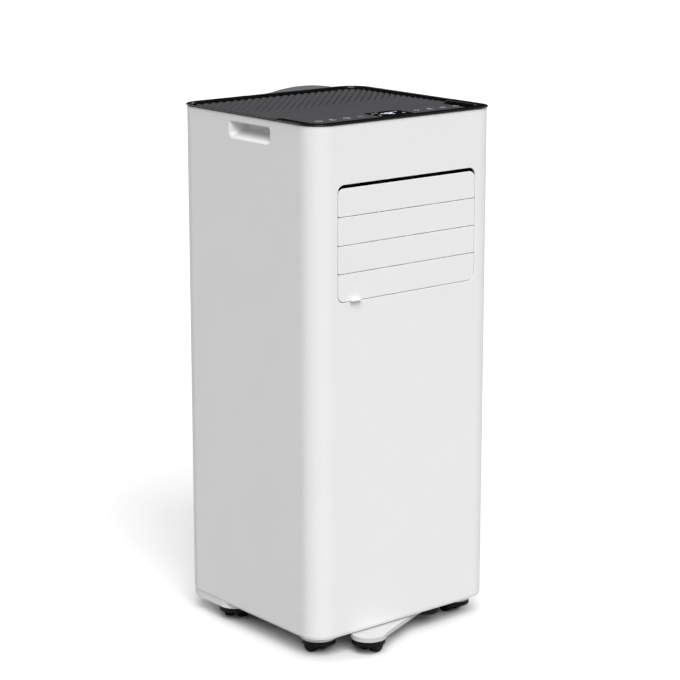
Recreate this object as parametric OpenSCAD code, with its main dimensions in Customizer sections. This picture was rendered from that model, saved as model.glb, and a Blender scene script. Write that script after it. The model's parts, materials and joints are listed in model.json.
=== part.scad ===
// Compact floor-standing portable air conditioner on casters.
// The cabinet is a tall rounded box of white shells with a black ridged lid,
// a four-slat front louver and an exhaust duct at the upper back.
// Origin: on the floor under the cabinet's centre. Front is -Y, up is +Z.

/* [Cabinet] */
// Width of the cabinet over the side panels
cab_w = 300; // [250:1:360]
// Depth of the cabinet from front face to back face
cab_d = 284; // [240:1:345]
// Height of the white shells
cab_h = 658; // [630:1:800]
// Plan radius of the upright corners
corner_r = 30; // [24:1:38]
// Thickness of the plastic shells
wall = 2.5; // [2:0.1:3.2]
// Height of the shells' lower edge above the floor
ride_h = 30; // [28:0.5:40]
// Depth of the tongues that join one shell to the next
lip_len = 10; // [6:1:16]

/* [Lid] */
// Height of the lid's rim above the shells
rim_h = 2.4; // [1.5:0.1:4]
// How far the rim stands out beyond the shells
rim_out = 1.5; // [0.5:0.1:3]
// Depth of the lid's floor below the shells' upper edge
floor_drop = 3; // [2:0.5:8]
// Distance between neighbouring ridges, across the ridges
ridge_pitch = 8.4; // [7:0.1:14]
// Height of each ridge
ridge_h = 1.8; // [1:0.1:3]
// Depth of the smooth control area, front to back
control_d = 70; // [64:1:80]
// Width of the lid's lip around the control area
control_lip = 14; // [10:1:20]
// Width of the display window
display_w = 58; // [44:1:64]
// Depth of the display window
display_d = 38; // [20:1:38]
// Distance of the display and keys from the lid's middle, to the right
display_x = 16; // [0:1:20]

/* [Louver] */
// Width of the louver opening
louver_w = 229; // [180:1:236]
// Height of the louver opening
louver_h = 148; // [110:1:180]
// Distance from the shells' top edge down to the opening
louver_drop = 74; // [50:1:110]
// Corner radius of the opening
louver_r = 10; // [6:1:16]
// Gap above the top slat, where its edge swings
slat_top_gap = 4.6; // [4.2:0.1:7]
// Gap between slats and beside them
slat_gap = 0.8; // [0.4:0.1:1]
// Thickness of a slat
slat_t = 2.2; // [1.6:0.1:3]
// Radius of the slat and vane pivot pins
pin_r = 1.5; // [1:0.1:2]
// Radial running clearance of the small pins
pin_fit = 0.05; // [0.02:0.01:0.1]
// Depth of the air outlet frame behind the front shell
frame_d = 70; // [64:1:84]

/* [Handles] */
// Length of each hand recess
handle_len = 83; // [60:1:110]
// Height of each hand recess
handle_h = 20; // [16:1:32]
// Depth of each hand recess
handle_d = 25; // [18:1:34]
// Distance of the recess centre in front of the cabinet's centre
handle_fwd = 11; // [0:1:30]

/* [Casters] */
// Radius of a caster wheel
wheel_r = 10.5; // [9:0.25:11.5]
// Width of one caster wheel
wheel_w = 12; // [9:0.5:12.5]
// Clear width between the two wheels of a caster
wheel_gap = 6; // [5:0.5:8]
// Radius of the round caster hood
hood_r = 22; // [21:0.5:26]
// Distance of the wheel axle behind the swivel axis
trail = 4; // [2:0.5:4.5]
// Radius of the caster stem
stem_r = 4; // [3:0.25:5.5]
// Radius of a caster axle
axle_r = 1.75; // [1.25:0.25:2.5]
// Radial running clearance of stems and axles
run_fit = 0.05; // [0.02:0.01:0.1]

/* [Exhaust] */
// Inside diameter of the round hose mouth
mouth_d = 148; // [120:1:150]
// Distance of the hose mouth behind the cabinet
hood_len = 80; // [60:1:100]
// Sideways shift of the mouth from the duct's centre
mouth_shift = 40; // [20:1:45]
// Width of the duct opening
duct_w = 128; // [110:1:130]
// Height of the duct opening
duct_h = 150; // [120:1:160]

/* [Back] */
// Width of the lower air intake
lower_w = 228; // [170:1:230]
// Height of the lower air intake
lower_h = 210; // [160:1:252]
// Width of the upper air intake
upper_w = 172; // [140:1:190]
// Height of the upper air intake
upper_h = 170; // [140:1:180]
// Distance between neighbouring grille bars
bar_pitch = 9; // [7:0.5:13]
// Bore radius of the drain nozzle
drain_r = 6; // [4:0.5:8]

/* [Machinery] */
// Radius of the compressor shell
comp_r = 54; // [45:1:58]
// Height of the compressor
comp_h = 190; // [150:1:228]
// Radius of the condenser blower wheel
cond_fan_r = 70; // [56:1:78]
// Radius of the evaporator blower wheel
evap_fan_r = 62; // [50:1:66]
// Thickness of both coils
coil_t = 30; // [22:1:34]
// Radius of the fan motor shafts
shaft_r = 4; // [3:0.25:5]

/* [Hidden] */
$fn = 96;
shell_white = "#ECECEA";
lid_black = "#26272A";
caster_black = "#17181A";
duct_grey = "#4A4B4D";
foam_white = "#DDE3E6";
steel_grey = "#8E9296";
copper_red = "#B5703C";

hw = cab_w/2;
hd = cab_d/2;
z0 = ride_h;
z1 = ride_h + cab_h;
split_f = -hd + corner_r;
split_r = hd - corner_r;
in_w = cab_w - 2*wall;
in_d = cab_d - 2*wall;
in_r = corner_r - wall;
lip_t = 2;
tongue_z0 = z0 + 30;
tongue_z1 = z1 - 40;
cut = 1;
gap = 0.3;

// lid
lid_top = z1 + rim_h;
lid_floor = z1 - floor_drop;
lid_t = 2;
tray_w = in_w - 2*gap;
tray_d = in_d - 2*gap;
tray_r = in_r - gap;
panel_t = 0.8;
control_y0 = -hd + control_lip;
control_y1 = control_y0 + control_d;
control_w = cab_w - 2*control_lip - 8;
control_r = 14;
display_fit = 0.2;
display_r = 6;
ridge_y0 = control_y1 + 6;
ridge_groove = 1.2;
ridge_fall = 1.4;
ridge_toe = 0.9;
ridge_root = 0.2;
display_y = control_y0 + control_d*0.61;
key_gap = 18;
key_pitch = 22.5;
key_r = 4;

// louver
louver_z1 = z1 - louver_drop;
louver_z0 = louver_z1 - louver_h;
slats = 4;
slat_h = (louver_h - slat_top_gap - slats*slat_gap)/slats;
slat_pitch = slat_h + slat_gap;
slat_w = louver_w - 2*slat_gap;
pivot_back = 7;
pivot_down = 6;
slat_pivot_y = -hd + pivot_back;
lug_r = 3.5;
link_half = 3;
tab_x = -slat_w/2 + 16;
tab_w = 21;
tab_out = 6;
tab_t = 3;
crank = 10;
lug_t = 2;
frame_in_w = louver_w + 1;
frame_in_z0 = louver_z0 - 2;
frame_in_z1 = louver_z1 + 2;
frame_t = 2.5;
frame_y0 = -hd + wall;
frame_y1 = frame_y0 + frame_d;
lug_x = louver_w/2 - 5;
vanes = 4;
vane_pitch = louver_w/(vanes + 1);
vane_d = 34;
vane_t = 1.5;
vane_y = frame_y1 - vane_d/2 - 6;
vane_crank = 12;
vane_z0 = frame_in_z0 + 9;
vane_z1 = frame_in_z1 - 2;

// handle
handle_z1 = z1 - 9;
handle_z0 = handle_z1 - handle_h;
handle_floor = 0.45*handle_h;
cup_t = 2;
screw_r = 3.4;
screw_h = 1.6;

// casters: the hood turns in a shallow pocket of its white boss
axle_z = wheel_r;
axle_web_r = 5;
well_fit = 0.5;
hood_z0 = axle_z + 2;
hood_z1 = ride_h - 11;
web_w = wheel_gap - 2*gap;
crown_r = hood_r - 3.2;
crown_z1 = 2*wheel_r + 1.6;
boss_z0 = hood_z1 + 0.5;
pocket_r = crown_r + 0.8;
pocket_z1 = crown_z1 + 0.7;
boss_r = hood_r + 1.5;
stem_len = 16;
front_pivot = [hw - 33, -hd + 36];
rear_pivot = [hw - 24, hd - 81];
front_left = [-front_pivot[0], front_pivot[1]];
rear_left = [-rear_pivot[0], rear_pivot[1]];
pan_pivots = [front_left, front_pivot, rear_left, rear_pivot];
foot_pivot = [-hw + 82, -hd - 6];
foot_end = [-hw + 188, -hd + 30];
foot_top = ride_h - 2.5;
foot_skin = 1.2;
foot_bore_top = foot_top - foot_skin;
foot_stem = foot_bore_top - pocket_z1;
foot_end_r = 16;
foot_screws = [foot_end[0] - 12, foot_end[0] + 12];
foot_screw_r = 2.2;
foot_cap_pos = foot_end + [18, -4];
foot_cap_r = 20;
foot_cap_h = 6.5;

// base pan
pan_h = 28;
pan_t = 2.5;
pan_w = in_w - 2*gap;
pan_d = in_d - 2*gap;
pan_r = in_r - gap;
pan_top = z0 + pan_h;
pan_floor = z0 + 2;
sump_r = 5;
sump_pos = [-hw + 42, 12];
sump_cap_r = 11;
sump_cap_h = 7;
apron_inset = 1;

// back
lower_z0 = pan_top + 12;
lower_z1 = lower_z0 + lower_h;
duct_x = hw - 94;
duct_z1 = z1 - 8;
duct_z0 = duct_z1 - duct_h;
upper_z1 = duct_z0 - 14;
upper_z0 = upper_z1 - upper_h;
upper_x = -(in_w/2 - upper_w/2 - 28);
grille_t = 6;
grille_edge = 7;
filter_t = 3;
band_z = (lower_z1 + upper_z0)/2;
gland_x = hw - 52;
drain_x = -hw + 62;

// exhaust connector
mouth_r = mouth_d/2;
mouth_wall = 2;
mouth_x = duct_x - mouth_shift;
mouth_z = duct_z1 - 78;
flange_t = 3;
collar_len = 22;
crest_r = 275;
crest_z = z1 + 7.7;
seat_h = duct_h + 22;

// decks and machinery
deck_z = upper_z0 - 16;
deck_t = 3;
cond_y1 = hd - wall - grille_t - filter_t - 3;
cond_y0 = cond_y1 - coil_t;
cond_z0 = pan_floor + 4;
cond_z1 = deck_z - 16;
evap_z0 = deck_z + deck_t + 12;
evap_z1 = upper_z1;
scroll_w = 56;
scroll_t = 2;
cfan_x = 40;
cfan_z = cond_z0 + cond_fan_r + 42;
cscroll_y1 = cond_y0 - 6;
cscroll_y0 = cscroll_y1 - scroll_w;
efan_x = upper_x + 14;
efan_z = deck_z + deck_t + evap_fan_r + 22;
escroll_y1 = cond_y0 - 6;
escroll_y0 = escroll_y1 - scroll_w;
motor_r = 38;
motor_len = 40;
comp_x = -hw + comp_r + 17;
comp_y = -hd + comp_r + 24;
comp_z0 = pan_floor + 14;
comp_feet = [30, 150, 270];
comp_foot_r = comp_r + 6;
acc_x = comp_x + comp_r + 24;
box_depth = 60;
box_y0 = hd - wall - box_depth;
riser_x0 = cfan_x + 26;
riser_x1 = cfan_x + cond_fan_r + 12;
riser_z0 = deck_z - 8;
riser_z1 = duct_z0 + 60;
plenum_z0 = upper_z1 + 6;
plenum_y1 = box_y0 - 4;
plenum_x1 = riser_x0 - 10;
box_x0 = efan_x + evap_fan_r + 18;
box_x1 = hw - wall - lip_t - 6;
box_z0 = deck_z + 30;
box_t = 1.5;
ecoil_x0 = upper_x - upper_w/2 + 4;
ecoil_x1 = upper_x + upper_w/2 - 12;
suction_r = 5;
suction_x = min(-lower_w/2 - 12, ecoil_x0 - 2*suction_r - 0.5);

// ---------- helpers ----------

// Rectangle with round corners, centred.
module rounded(w, d, r) {
  square([w - 2*r, d], center = true);
  square([w, d - 2*r], center = true);
  for (sx = [-1, 1], sy = [-1, 1])
    translate([sx*(w/2 - r), sy*(d/2 - r)]) circle(r);
}

// Box given by its lowest and highest corners.
module span(a, b) {
  translate(a) cube([b[0] - a[0], b[1] - a[1], b[2] - a[2]]);
}

// Round bar along X, Y or Z from a start point.
module bar_x(p, r, len) { translate(p) rotate([0, 90, 0]) cylinder(h = len, r = r); }
module bar_y(p, r, len) { translate(p) rotate([-90, 0, 0]) cylinder(h = len, r = r); }
module bar_z(p, r, len) { translate(p) cylinder(h = len, r = r); }

// Outline in the XZ plane carried along +Y from y.
module along_y(y, len) { translate([0, y + len, 0]) rotate([90, 0, 0]) linear_extrude(len) children(); }

// Outline in the YZ plane carried along +X from x.
module along_x(x, len) { translate([x, 0, 0]) rotate([90, 0, 90]) linear_extrude(len) children(); }

// ---------- shells ----------

module cabinet_wall() {
  translate([0, 0, z0]) linear_extrude(cab_h) difference() {
    rounded(cab_w, cab_d, corner_r);
    rounded(in_w, in_d, in_r);
  }
}

module louver_outline(grow = 0) {
  translate([0, (louver_z0 + louver_z1)/2])
    rounded(louver_w + 2*grow, louver_h + 2*grow, louver_r + grow);
}

// Two upright tongues that reach behind the side panels.
module side_tongues(y) {
  for (s = [-1, 1])
    span([s*(in_w/2 - lip_t/2) - lip_t/2, y - lip_len/2, tongue_z0],
         [s*(in_w/2 - lip_t/2) + lip_t/2, y + lip_len/2, tongue_z1]);
}

module front_panel() {
  color(shell_white) difference() {
    union() {
      intersection() {
        cabinet_wall();
        span([-hw, -hd, z0], [hw, split_f, z1]);
      }
      side_tongues(split_f);
    }
    along_y(-hd - cut, wall + 2*cut) louver_outline();
  }
}

// Hand recess: deep under its top edge, running out to nothing at the bottom.
// grow thickens it on the inside only, to make the cup around it.
module handle_profile(grow, front) {
  polygon([[front, handle_z0 - grow], [front, handle_z1 + grow], [-handle_d - grow, handle_z1 + grow],
           [-handle_d - grow, handle_z1 - handle_floor - grow],
           [-handle_d*0.6, handle_z0 + handle_h*0.15 - grow]]);
}

// Right-hand side panel; the left one is its mirror image.
module side_panel() {
  cup_y = -handle_fwd - handle_len/2;
  color(shell_white) difference() {
    union() {
      span([hw - wall, split_f, z0], [hw, split_r, z1]);
      along_y(cup_y - cup_t, handle_len + 2*cup_t) translate([hw, 0]) handle_profile(cup_t, 0);
    }
    along_y(cup_y, handle_len) translate([hw, 0]) handle_profile(0, cut);
  }
}

module left_side_panel() { mirror([1, 0, 0]) side_panel(); }
module right_side_panel() { side_panel(); }

module drain_hole(r) { bar_y([drain_x, hd - wall - cut, band_z], r, wall + 2*cut); }
module gland_hole(r) { bar_y([gland_x, hd - wall - cut, band_z], r, wall + 2*cut); }

module duct_opening(y, len, grow = 0) {
  along_y(y, len) translate([duct_x, (duct_z0 + duct_z1)/2])
    rounded(duct_w + 2*grow, duct_h + 2*grow, 12 + grow);
}

module rear_panel() {
  color(shell_white) difference() {
    union() {
      intersection() {
        cabinet_wall();
        span([-hw, split_r, z0], [hw, hd, z1]);
      }
      side_tongues(split_r);
    }
    span([-lower_w/2, hd - wall - cut, lower_z0], [lower_w/2, hd + cut, lower_z1]);
    span([upper_x - upper_w/2, hd - wall - cut, upper_z0], [upper_x + upper_w/2, hd + cut, upper_z1]);
    duct_opening(hd - wall - cut, wall + 2*cut, -4);
    drain_hole(drain_r + 3);
    gland_hole(8.8);
  }
}

// ---------- base ----------

module caster_boss(p, top) {
  difference() {
    bar_z([p[0], p[1], boss_z0], boss_r, top - boss_z0);
    caster_pocket(p, top);
  }
}

module caster_pocket(p, top) {
  bar_z([p[0], p[1], boss_z0 - cut], pocket_r, pocket_z1 - boss_z0 + cut);
  bar_z([p[0], p[1], pocket_z1 - cut], stem_r + run_fit, top - pocket_z1 + 2*cut);
}

module base_pan() {
  boss_top = pocket_z1 + stem_len + 1;
  color(shell_white) difference() {
    union() {
      translate([0, 0, z0]) linear_extrude(pan_h) difference() {
        rounded(pan_w, pan_d, pan_r);
        rounded(pan_w - 2*pan_t, pan_d - 2*pan_t, pan_r - pan_t);
      }
      // floor plate, with a ledge under the shells' lower edge
      translate([0, 0, z0 - pan_t]) linear_extrude(pan_t)
        rounded(cab_w - 2*apron_inset, cab_d - 2*apron_inset, corner_r - apron_inset);
      // deeper apron round the back, from one rear caster to the other
      intersection() {
        translate([0, 0, boss_z0]) linear_extrude(z0 - boss_z0)
          rounded(cab_w - 2*apron_inset, cab_d - 2*apron_inset, corner_r - apron_inset);
        span([-hw, rear_pivot[1], boss_z0], [hw, hd, z0]);
      }
      for (p = pan_pivots) bar_z([p[0], p[1], boss_z0], boss_r, z0 - boss_z0);
      for (p = pan_pivots) bar_z([p[0], p[1], z0 - pan_t], stem_r + 5, boss_top - z0 + pan_t);
    }
    for (p = pan_pivots) caster_pocket(p, boss_top);
    bar_z([sump_pos[0], sump_pos[1], z0 - pan_t - cut], sump_r + 0.2, pan_t + 2*cut);
    for (x = foot_screws) bar_z([x, foot_end[1], z0 - pan_t - cut], foot_screw_r, pan_t + 2*cut);
  }
}

// Rubber plug of the condensate sump: a round cap with a short spigot.
module sump_plug() {
  color(duct_grey) {
    bar_z([sump_pos[0], sump_pos[1], z0 - pan_t - sump_cap_h], sump_cap_r, sump_cap_h);
    bar_z([sump_pos[0], sump_pos[1], z0 - pan_t], sump_r, pan_t);
  }
}

// Forward outrigger that carries a fifth caster, screwed under the pan.
module front_foot() {
  p = foot_pivot;
  q = foot_end;
  side = [p[1] - q[1], q[0] - p[0]]/norm(q - p);
  near = (boss_r - 2)*side;
  far = (foot_end_r - 2)*side;
  color(shell_white) difference() {
    translate([0, 0, boss_z0]) linear_extrude(foot_top - boss_z0) {
      translate(p) circle(boss_r);
      translate(q) circle(foot_end_r);
      polygon([p + near, p - near, q - far, q + far]);
    }
    caster_pocket(p, foot_bore_top - cut);
    for (x = foot_screws) bar_z([x, q[1], boss_z0 - cut], foot_screw_r, foot_top - boss_z0 + 2*cut);
    bar_z([foot_cap_pos[0], foot_cap_pos[1], boss_z0 - cut], foot_cap_r + gap, foot_cap_h - 2 + cut);
  }
}

// Round black cap over the foot's fixing screws.
module foot_cap() {
  color(caster_black) bar_z([foot_cap_pos[0], foot_cap_pos[1], boss_z0 - 2], foot_cap_r, foot_cap_h);
}

// ---------- casters ----------

// turn is the swivel angle at rest: 0 trails the axle behind the stem along +Y.
module caster_hood(p, turn, stem) {
  color(caster_black) translate([p[0], p[1], 0]) rotate([0, 0, turn]) {
    difference() {
      union() {
        bar_z([0, 0, hood_z0], hood_r, hood_z1 - hood_z0);
        bar_z([0, 0, hood_z1], crown_r, crown_z1 - hood_z1);
      }
      for (s = [-1, 1]) wheel_well(s);
    }
    // web between the wheels, which holds the axle
    difference() {
      union() {
        bar_x([-web_w/2, trail, axle_z], axle_web_r, web_w);
        span([-web_w/2, trail - axle_web_r, axle_z], [web_w/2, trail + axle_web_r, hood_z0 + cut]);
      }
      bar_x([-web_w, trail, axle_z], axle_r + run_fit, 2*web_w);
    }
    bar_z([0, 0, crown_z1], stem_r, stem);
  }
}

module wheel_well(s) {
  w = wheel_w + 2*gap;
  x = s*(wheel_gap/2 + wheel_w/2);
  bar_x([x - w/2, trail, axle_z], wheel_r + well_fit, w);
}

module caster_wheels(p, turn) {
  color(caster_black) translate([p[0], p[1], 0]) rotate([0, 0, turn]) translate([0, trail, axle_z])
    rotate([0, 90, 0]) {
      for (s = [-1, 1]) translate([0, 0, s*(wheel_gap/2 + wheel_w/2)]) wheel();
      cylinder(h = wheel_gap, r = axle_r, center = true);
    }
}

// One wheel with softly rounded shoulders.
module wheel() {
  rotate_extrude() {
    translate([0, -wheel_w/2]) square([wheel_r - 3, wheel_w]);
    translate([0, -wheel_w/2 + 3]) square([wheel_r, wheel_w - 6]);
    for (s = [-1, 1]) translate([wheel_r - 3, s*(wheel_w/2 - 3)]) circle(3);
  }
}

module front_left_caster_hood() { caster_hood(front_left, 0, stem_len); }
module front_left_caster_wheels() { caster_wheels(front_left, 0); }
module front_right_caster_hood() { caster_hood(front_pivot, 0, stem_len); }
module front_right_caster_wheels() { caster_wheels(front_pivot, 0); }
module rear_left_caster_hood() { caster_hood(rear_left, -50, stem_len); }
module rear_left_caster_wheels() { caster_wheels(rear_left, -50); }
module rear_right_caster_hood() { caster_hood(rear_pivot, 35, stem_len); }
module rear_right_caster_wheels() { caster_wheels(rear_pivot, 35); }
module foot_caster_hood() { caster_hood(foot_pivot, -75, foot_stem); }
module foot_caster_wheels() { caster_wheels(foot_pivot, -75); }

// ---------- lid and controls ----------

// Ridged field: long wedges running at 45 degrees from front left to back right.
module ridges() {
  reach = cab_w + cab_d;
  count = floor(reach/ridge_pitch);
  end = ridge_pitch - ridge_groove;
  intersection() {
    translate([0, 0, lid_floor - ridge_root]) linear_extrude(ridge_h + ridge_root) intersection() {
      rounded(tray_w - 2*lid_t, tray_d - 2*lid_t, tray_r - lid_t);
      translate([-hw, ridge_y0]) square([cab_w, cab_d]);
    }
    rotate([0, 0, 45]) for (i = [0 : count])
      translate([-reach/2, -reach/2 + i*ridge_pitch, lid_floor - ridge_root]) rotate([90, 0, 90])
        linear_extrude(reach) polygon([[0, 0], [end, 0], [end - ridge_fall, ridge_h + ridge_root],
                                       [ridge_toe, 0.35*ridge_h + ridge_root]]);
  }
}

module top_cover() {
  color(lid_black) {
    difference() {
      union() {
        translate([0, 0, z1]) linear_extrude(rim_h)
          rounded(cab_w + 2*rim_out, cab_d + 2*rim_out, corner_r + rim_out);
        translate([0, 0, lid_floor - lid_t]) linear_extrude(floor_drop + lid_t)
          rounded(tray_w, tray_d, tray_r);
      }
      // ridged part of the recess, nearly up to the rim
      translate([0, 0, lid_floor]) linear_extrude(floor_drop + rim_h + cut) intersection() {
        rounded(tray_w - 2*lid_t, tray_d - 2*lid_t, tray_r - lid_t);
        translate([-hw, control_y1]) square([cab_w, cab_d]);
      }
      // control part, with a wider lip around it
      translate([0, control_y0 + control_d/2, lid_floor]) linear_extrude(floor_drop + rim_h + cut)
        union() {
          rounded(cab_w - 2*control_lip, control_d, control_r);
          translate([0, control_d/4]) square([cab_w - 2*control_lip, control_d/2 + cut], center = true);
        }
    }
    ridges();
  }
}

// Thin smooth panel that carries the touch symbols.
module control_panel() {
  color("#3A3B3E") translate([0, 0, lid_floor]) difference() {
    linear_extrude(panel_t) translate([0, control_y0 + control_d/2 + 1])
      rounded(control_w, control_d - 8, 10);
    translate([display_x, display_y, -cut]) linear_extrude(panel_t + 2*cut)
      rounded(display_w, display_d, display_r);
  }
}

module display_window() {
  color("black") translate([display_x, display_y, lid_floor]) linear_extrude(panel_t + display_fit)
    rounded(display_w - 2*display_fit, display_d - 2*display_fit, display_r - display_fit);
}

// Circuit board of the touch keys and display, hung under the lid.
module touch_board() {
  z = lid_floor - lid_t;
  reach = display_w/2 + key_gap + 3*key_pitch + 2*key_r;
  color("darkgreen") translate([display_x, display_y, z]) {
    span([-reach, -18, -7.6], [reach, 18, -6]);
    span([-display_w/2 + 3, -15, -6], [display_w/2 - 3, 15, 0]);
    for (s = [-1, 1], i = [0 : 3]) bar_z([s*(display_w/2 + key_gap + key_pitch*i), 0, -6], key_r, 6);
    span([-24, 6, -12], [10, 17, -7.6]);
  }
}

// ---------- louver ----------

function slat_z1(i) = louver_z1 - slat_top_gap - i*slat_pitch;
function slat_pivot_z(i) = slat_z1(i) - pivot_down;
module slat_outline(i) {
  intersection() {
    translate([-slat_w/2, slat_z1(i) - slat_h]) square([slat_w, slat_h]);
    translate([0, (slat_z1(0) + slat_z1(slats - 1) - slat_h)/2])
      rounded(slat_w, slat_z1(0) - slat_z1(slats - 1) + slat_h, louver_r - slat_gap);
  }
}

// Flush horizontal slat with end lugs, pivot pins and a crank pin on the right.
module louver_slat(i) {
  pz = slat_pivot_z(i);
  color(shell_white) {
    along_y(-hd, slat_t) slat_outline(i);
    for (s = [-1, 1]) {
      along_x(s*(lug_x + lug_t/2) - lug_t/2, lug_t) {
        translate([-hd + slat_t/2, pz - lug_r]) square([pivot_back - slat_t/2, 2*lug_r]);
        translate([slat_pivot_y, pz]) circle(lug_r);
        if (s > 0) {
          translate([slat_pivot_y, pz - lug_r]) square([crank, 2*lug_r]);
          translate([slat_pivot_y + crank, pz]) circle(lug_r);
        }
      }
      bar_x([s > 0 ? lug_x + lug_t : -frame_in_w/2 - frame_t + 0.5, slat_pivot_y, pz], pin_r,
            frame_in_w/2 + frame_t - 0.5 - lug_x - lug_t);
    }
    bar_x([lug_x - 4, slat_pivot_y + crank, pz], pin_r, 4);
    // hand tab on the lowest slat
    if (i == slats - 1)
      span([tab_x, -hd - tab_out, slat_z1(i) - slat_h],
           [tab_x + tab_w, -hd + slat_t/2, slat_z1(i) - slat_h + tab_t]);
  }
}

module louver_slat_1() { louver_slat(0); }
module louver_slat_2() { louver_slat(1); }
module louver_slat_3() { louver_slat(2); }
module louver_slat_4() { louver_slat(3); }

// Upright bar that holds the four crank pins in step.
module louver_link() {
  y = slat_pivot_y + crank;
  color(duct_grey) difference() {
    union() {
      span([lug_x - 3, y - link_half, slat_pivot_z(slats - 1)],
           [lug_x - 0.4, y + link_half, slat_pivot_z(0)]);
      for (i = [0, slats - 1]) bar_x([lug_x - 3, y, slat_pivot_z(i)], link_half, 2.6);
    }
    for (i = [0 : slats - 1]) bar_x([lug_x - 4, y, slat_pivot_z(i)], pin_r + pin_fit, 5);
  }
}

// Open box behind the louver, with the bearings of slats and vanes.
module air_outlet_frame() {
  x = frame_in_w/2;
  color(caster_black) difference() {
    span([-x - frame_t, frame_y0, frame_in_z0 - frame_t], [x + frame_t, frame_y1, frame_in_z1 + frame_t]);
    span([-x, frame_y0 - cut, frame_in_z0], [x, frame_y1 + cut, frame_in_z1]);
    for (s = [-1, 1], i = [0 : slats - 1])
      bar_x([s*(x + frame_t/2) - frame_t, slat_pivot_y, slat_pivot_z(i)], pin_r + pin_fit, 2*frame_t);
    for (i = [0 : vanes - 1]) {
      bar_z([vane_x(i), vane_y, frame_in_z0 - frame_t - cut], pin_r + pin_fit, frame_t + 2*cut);
      bar_z([vane_x(i), vane_y, frame_in_z1 - cut], pin_r + pin_fit, frame_t + 2*cut);
    }
  }
}

function vane_x(i) = (i - (vanes - 1)/2)*vane_pitch;

// Upright vane that steers the air left and right.
module air_vane(i) {
  x = vane_x(i);
  color(caster_black) {
    span([x - vane_t/2, vane_y - vane_d/2, vane_z0], [x + vane_t/2, vane_y + vane_d/2, vane_z1]);
    bar_z([x, vane_y, vane_z0 - 3], 3, vane_z1 - vane_z0 + 4);
    bar_z([x, vane_y, frame_in_z0 - frame_t + 0.5], pin_r, vane_z0 - frame_in_z0 + frame_t - 1);
    bar_z([x, vane_y, vane_z1], pin_r, frame_in_z1 - vane_z1 + frame_t - 0.5);
    bar_z([x, vane_y + vane_crank, vane_z0 - 4], pin_r, 5);
  }
}

module air_vane_1() { air_vane(0); }
module air_vane_2() { air_vane(1); }
module air_vane_3() { air_vane(2); }
module air_vane_4() { air_vane(3); }

module vane_link() {
  y = vane_y + vane_crank;
  color(duct_grey) difference() {
    union() {
      span([vane_x(0), y - link_half, vane_z0 - 3.2], [vane_x(vanes - 1), y + link_half, vane_z0 - 0.8]);
      for (i = [0, vanes - 1]) bar_z([vane_x(i), y, vane_z0 - 3.2], link_half, 2.4);
    }
    for (i = [0 : vanes - 1]) bar_z([vane_x(i), y, vane_z0 - 4.2], pin_r + pin_fit, 5);
  }
}

// ---------- exhaust ----------

// Duct from the condenser blower up to the opening in the back.
module exhaust_duct() {
  t = scroll_t;
  color(foam_white) difference() {
    union() {
      duct_opening(box_y0, box_depth);
      span([riser_x0, cscroll_y0, riser_z0], [riser_x1, box_y0 + 20, riser_z1]);
      duct_opening(hd - wall, wall, -4.2);
    }
    duct_opening(box_y0 + t, box_depth - 2*t, -t);
    span([riser_x0 + t, cscroll_y0 + t, riser_z0 - cut], [riser_x1 - t, box_y0 + 20 - t, riser_z1 - t]);
    duct_opening(hd - wall - 2*t, wall + 2*t + cut, -4.2 - t);
  }
}

// Outline of the connector's seat on the back, with its gently arched top.
module seat_outline(grow = 0) {
  intersection() {
    translate([duct_x, crest_z - crest_r]) circle(crest_r + grow, $fn = 200);
    translate([duct_x, crest_z - seat_h/2]) square([duct_w + 2*grow, seat_h + 2*grow], center = true);
  }
}

// Hose connector: blends from the wide seat to the round hose mouth.
module exhaust_connector() {
  y0 = hd + gap;
  y1 = hd + hood_len - collar_len;
  r = mouth_r + mouth_wall;
  color(duct_grey) difference() {
    union() {
      along_y(y0, flange_t) seat_outline();
      hull() {
        along_y(y0 + 1, flange_t) seat_outline(-1.2);
        along_y(y1 - 1, 1) translate([mouth_x, mouth_z]) circle(r + 0.8, $fn = 64);
      }
      bar_y([mouth_x, y1 - 1, mouth_z], r, collar_len + 1);
    }
    hull() {
      along_y(y0 - 0.5, 1) translate([duct_x, (duct_z0 + duct_z1)/2 - 1])
        square([duct_w - 8, duct_h - 8], center = true);
      along_y(y1 - 1, 1.5) translate([mouth_x, mouth_z]) circle(mouth_r - 0.6, $fn = 64);
    }
    bar_y([mouth_x, y1, mouth_z], mouth_r, collar_len + cut);
    // step that clears the lid's overhanging rim
    span([-hw, hd, z1 - gap], [hw, hd + rim_out + gap, crest_z + cut]);
  }
}

// ---------- intake grilles, filters and fittings on the back ----------

// Grille that drops into an opening, with a thin flange over the panel around it.
module intake_grille(x, z_a, z_b, w) {
  y0 = hd - grille_t;
  h = z_b - z_a;
  rows = floor((h - 2*grille_edge)/bar_pitch);
  first = z_a + (h - rows*bar_pitch)/2;
  color(shell_white) {
    difference() {
      union() {
        span([x - w/2 + gap, y0, z_a + gap], [x + w/2 - gap, hd, z_b - gap]);
        span([x - w/2 - 3, hd, z_a - 3], [x + w/2 + 3, hd + 1.5, z_b + 3]);
      }
      for (i = [0 : rows - 1])
        span([x - w/2 + grille_edge, y0 - cut, first + i*bar_pitch + 1.5],
             [x + w/2 - grille_edge, hd + 1.5 + cut, first + (i + 1)*bar_pitch - 1.5]);
    }
    for (k = [-1, 0, 1])
      span([x + k*w/4 - 1.5, y0, z_a + gap], [x + k*w/4 + 1.5, hd - 0.5, z_b - gap]);
  }
}

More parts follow.
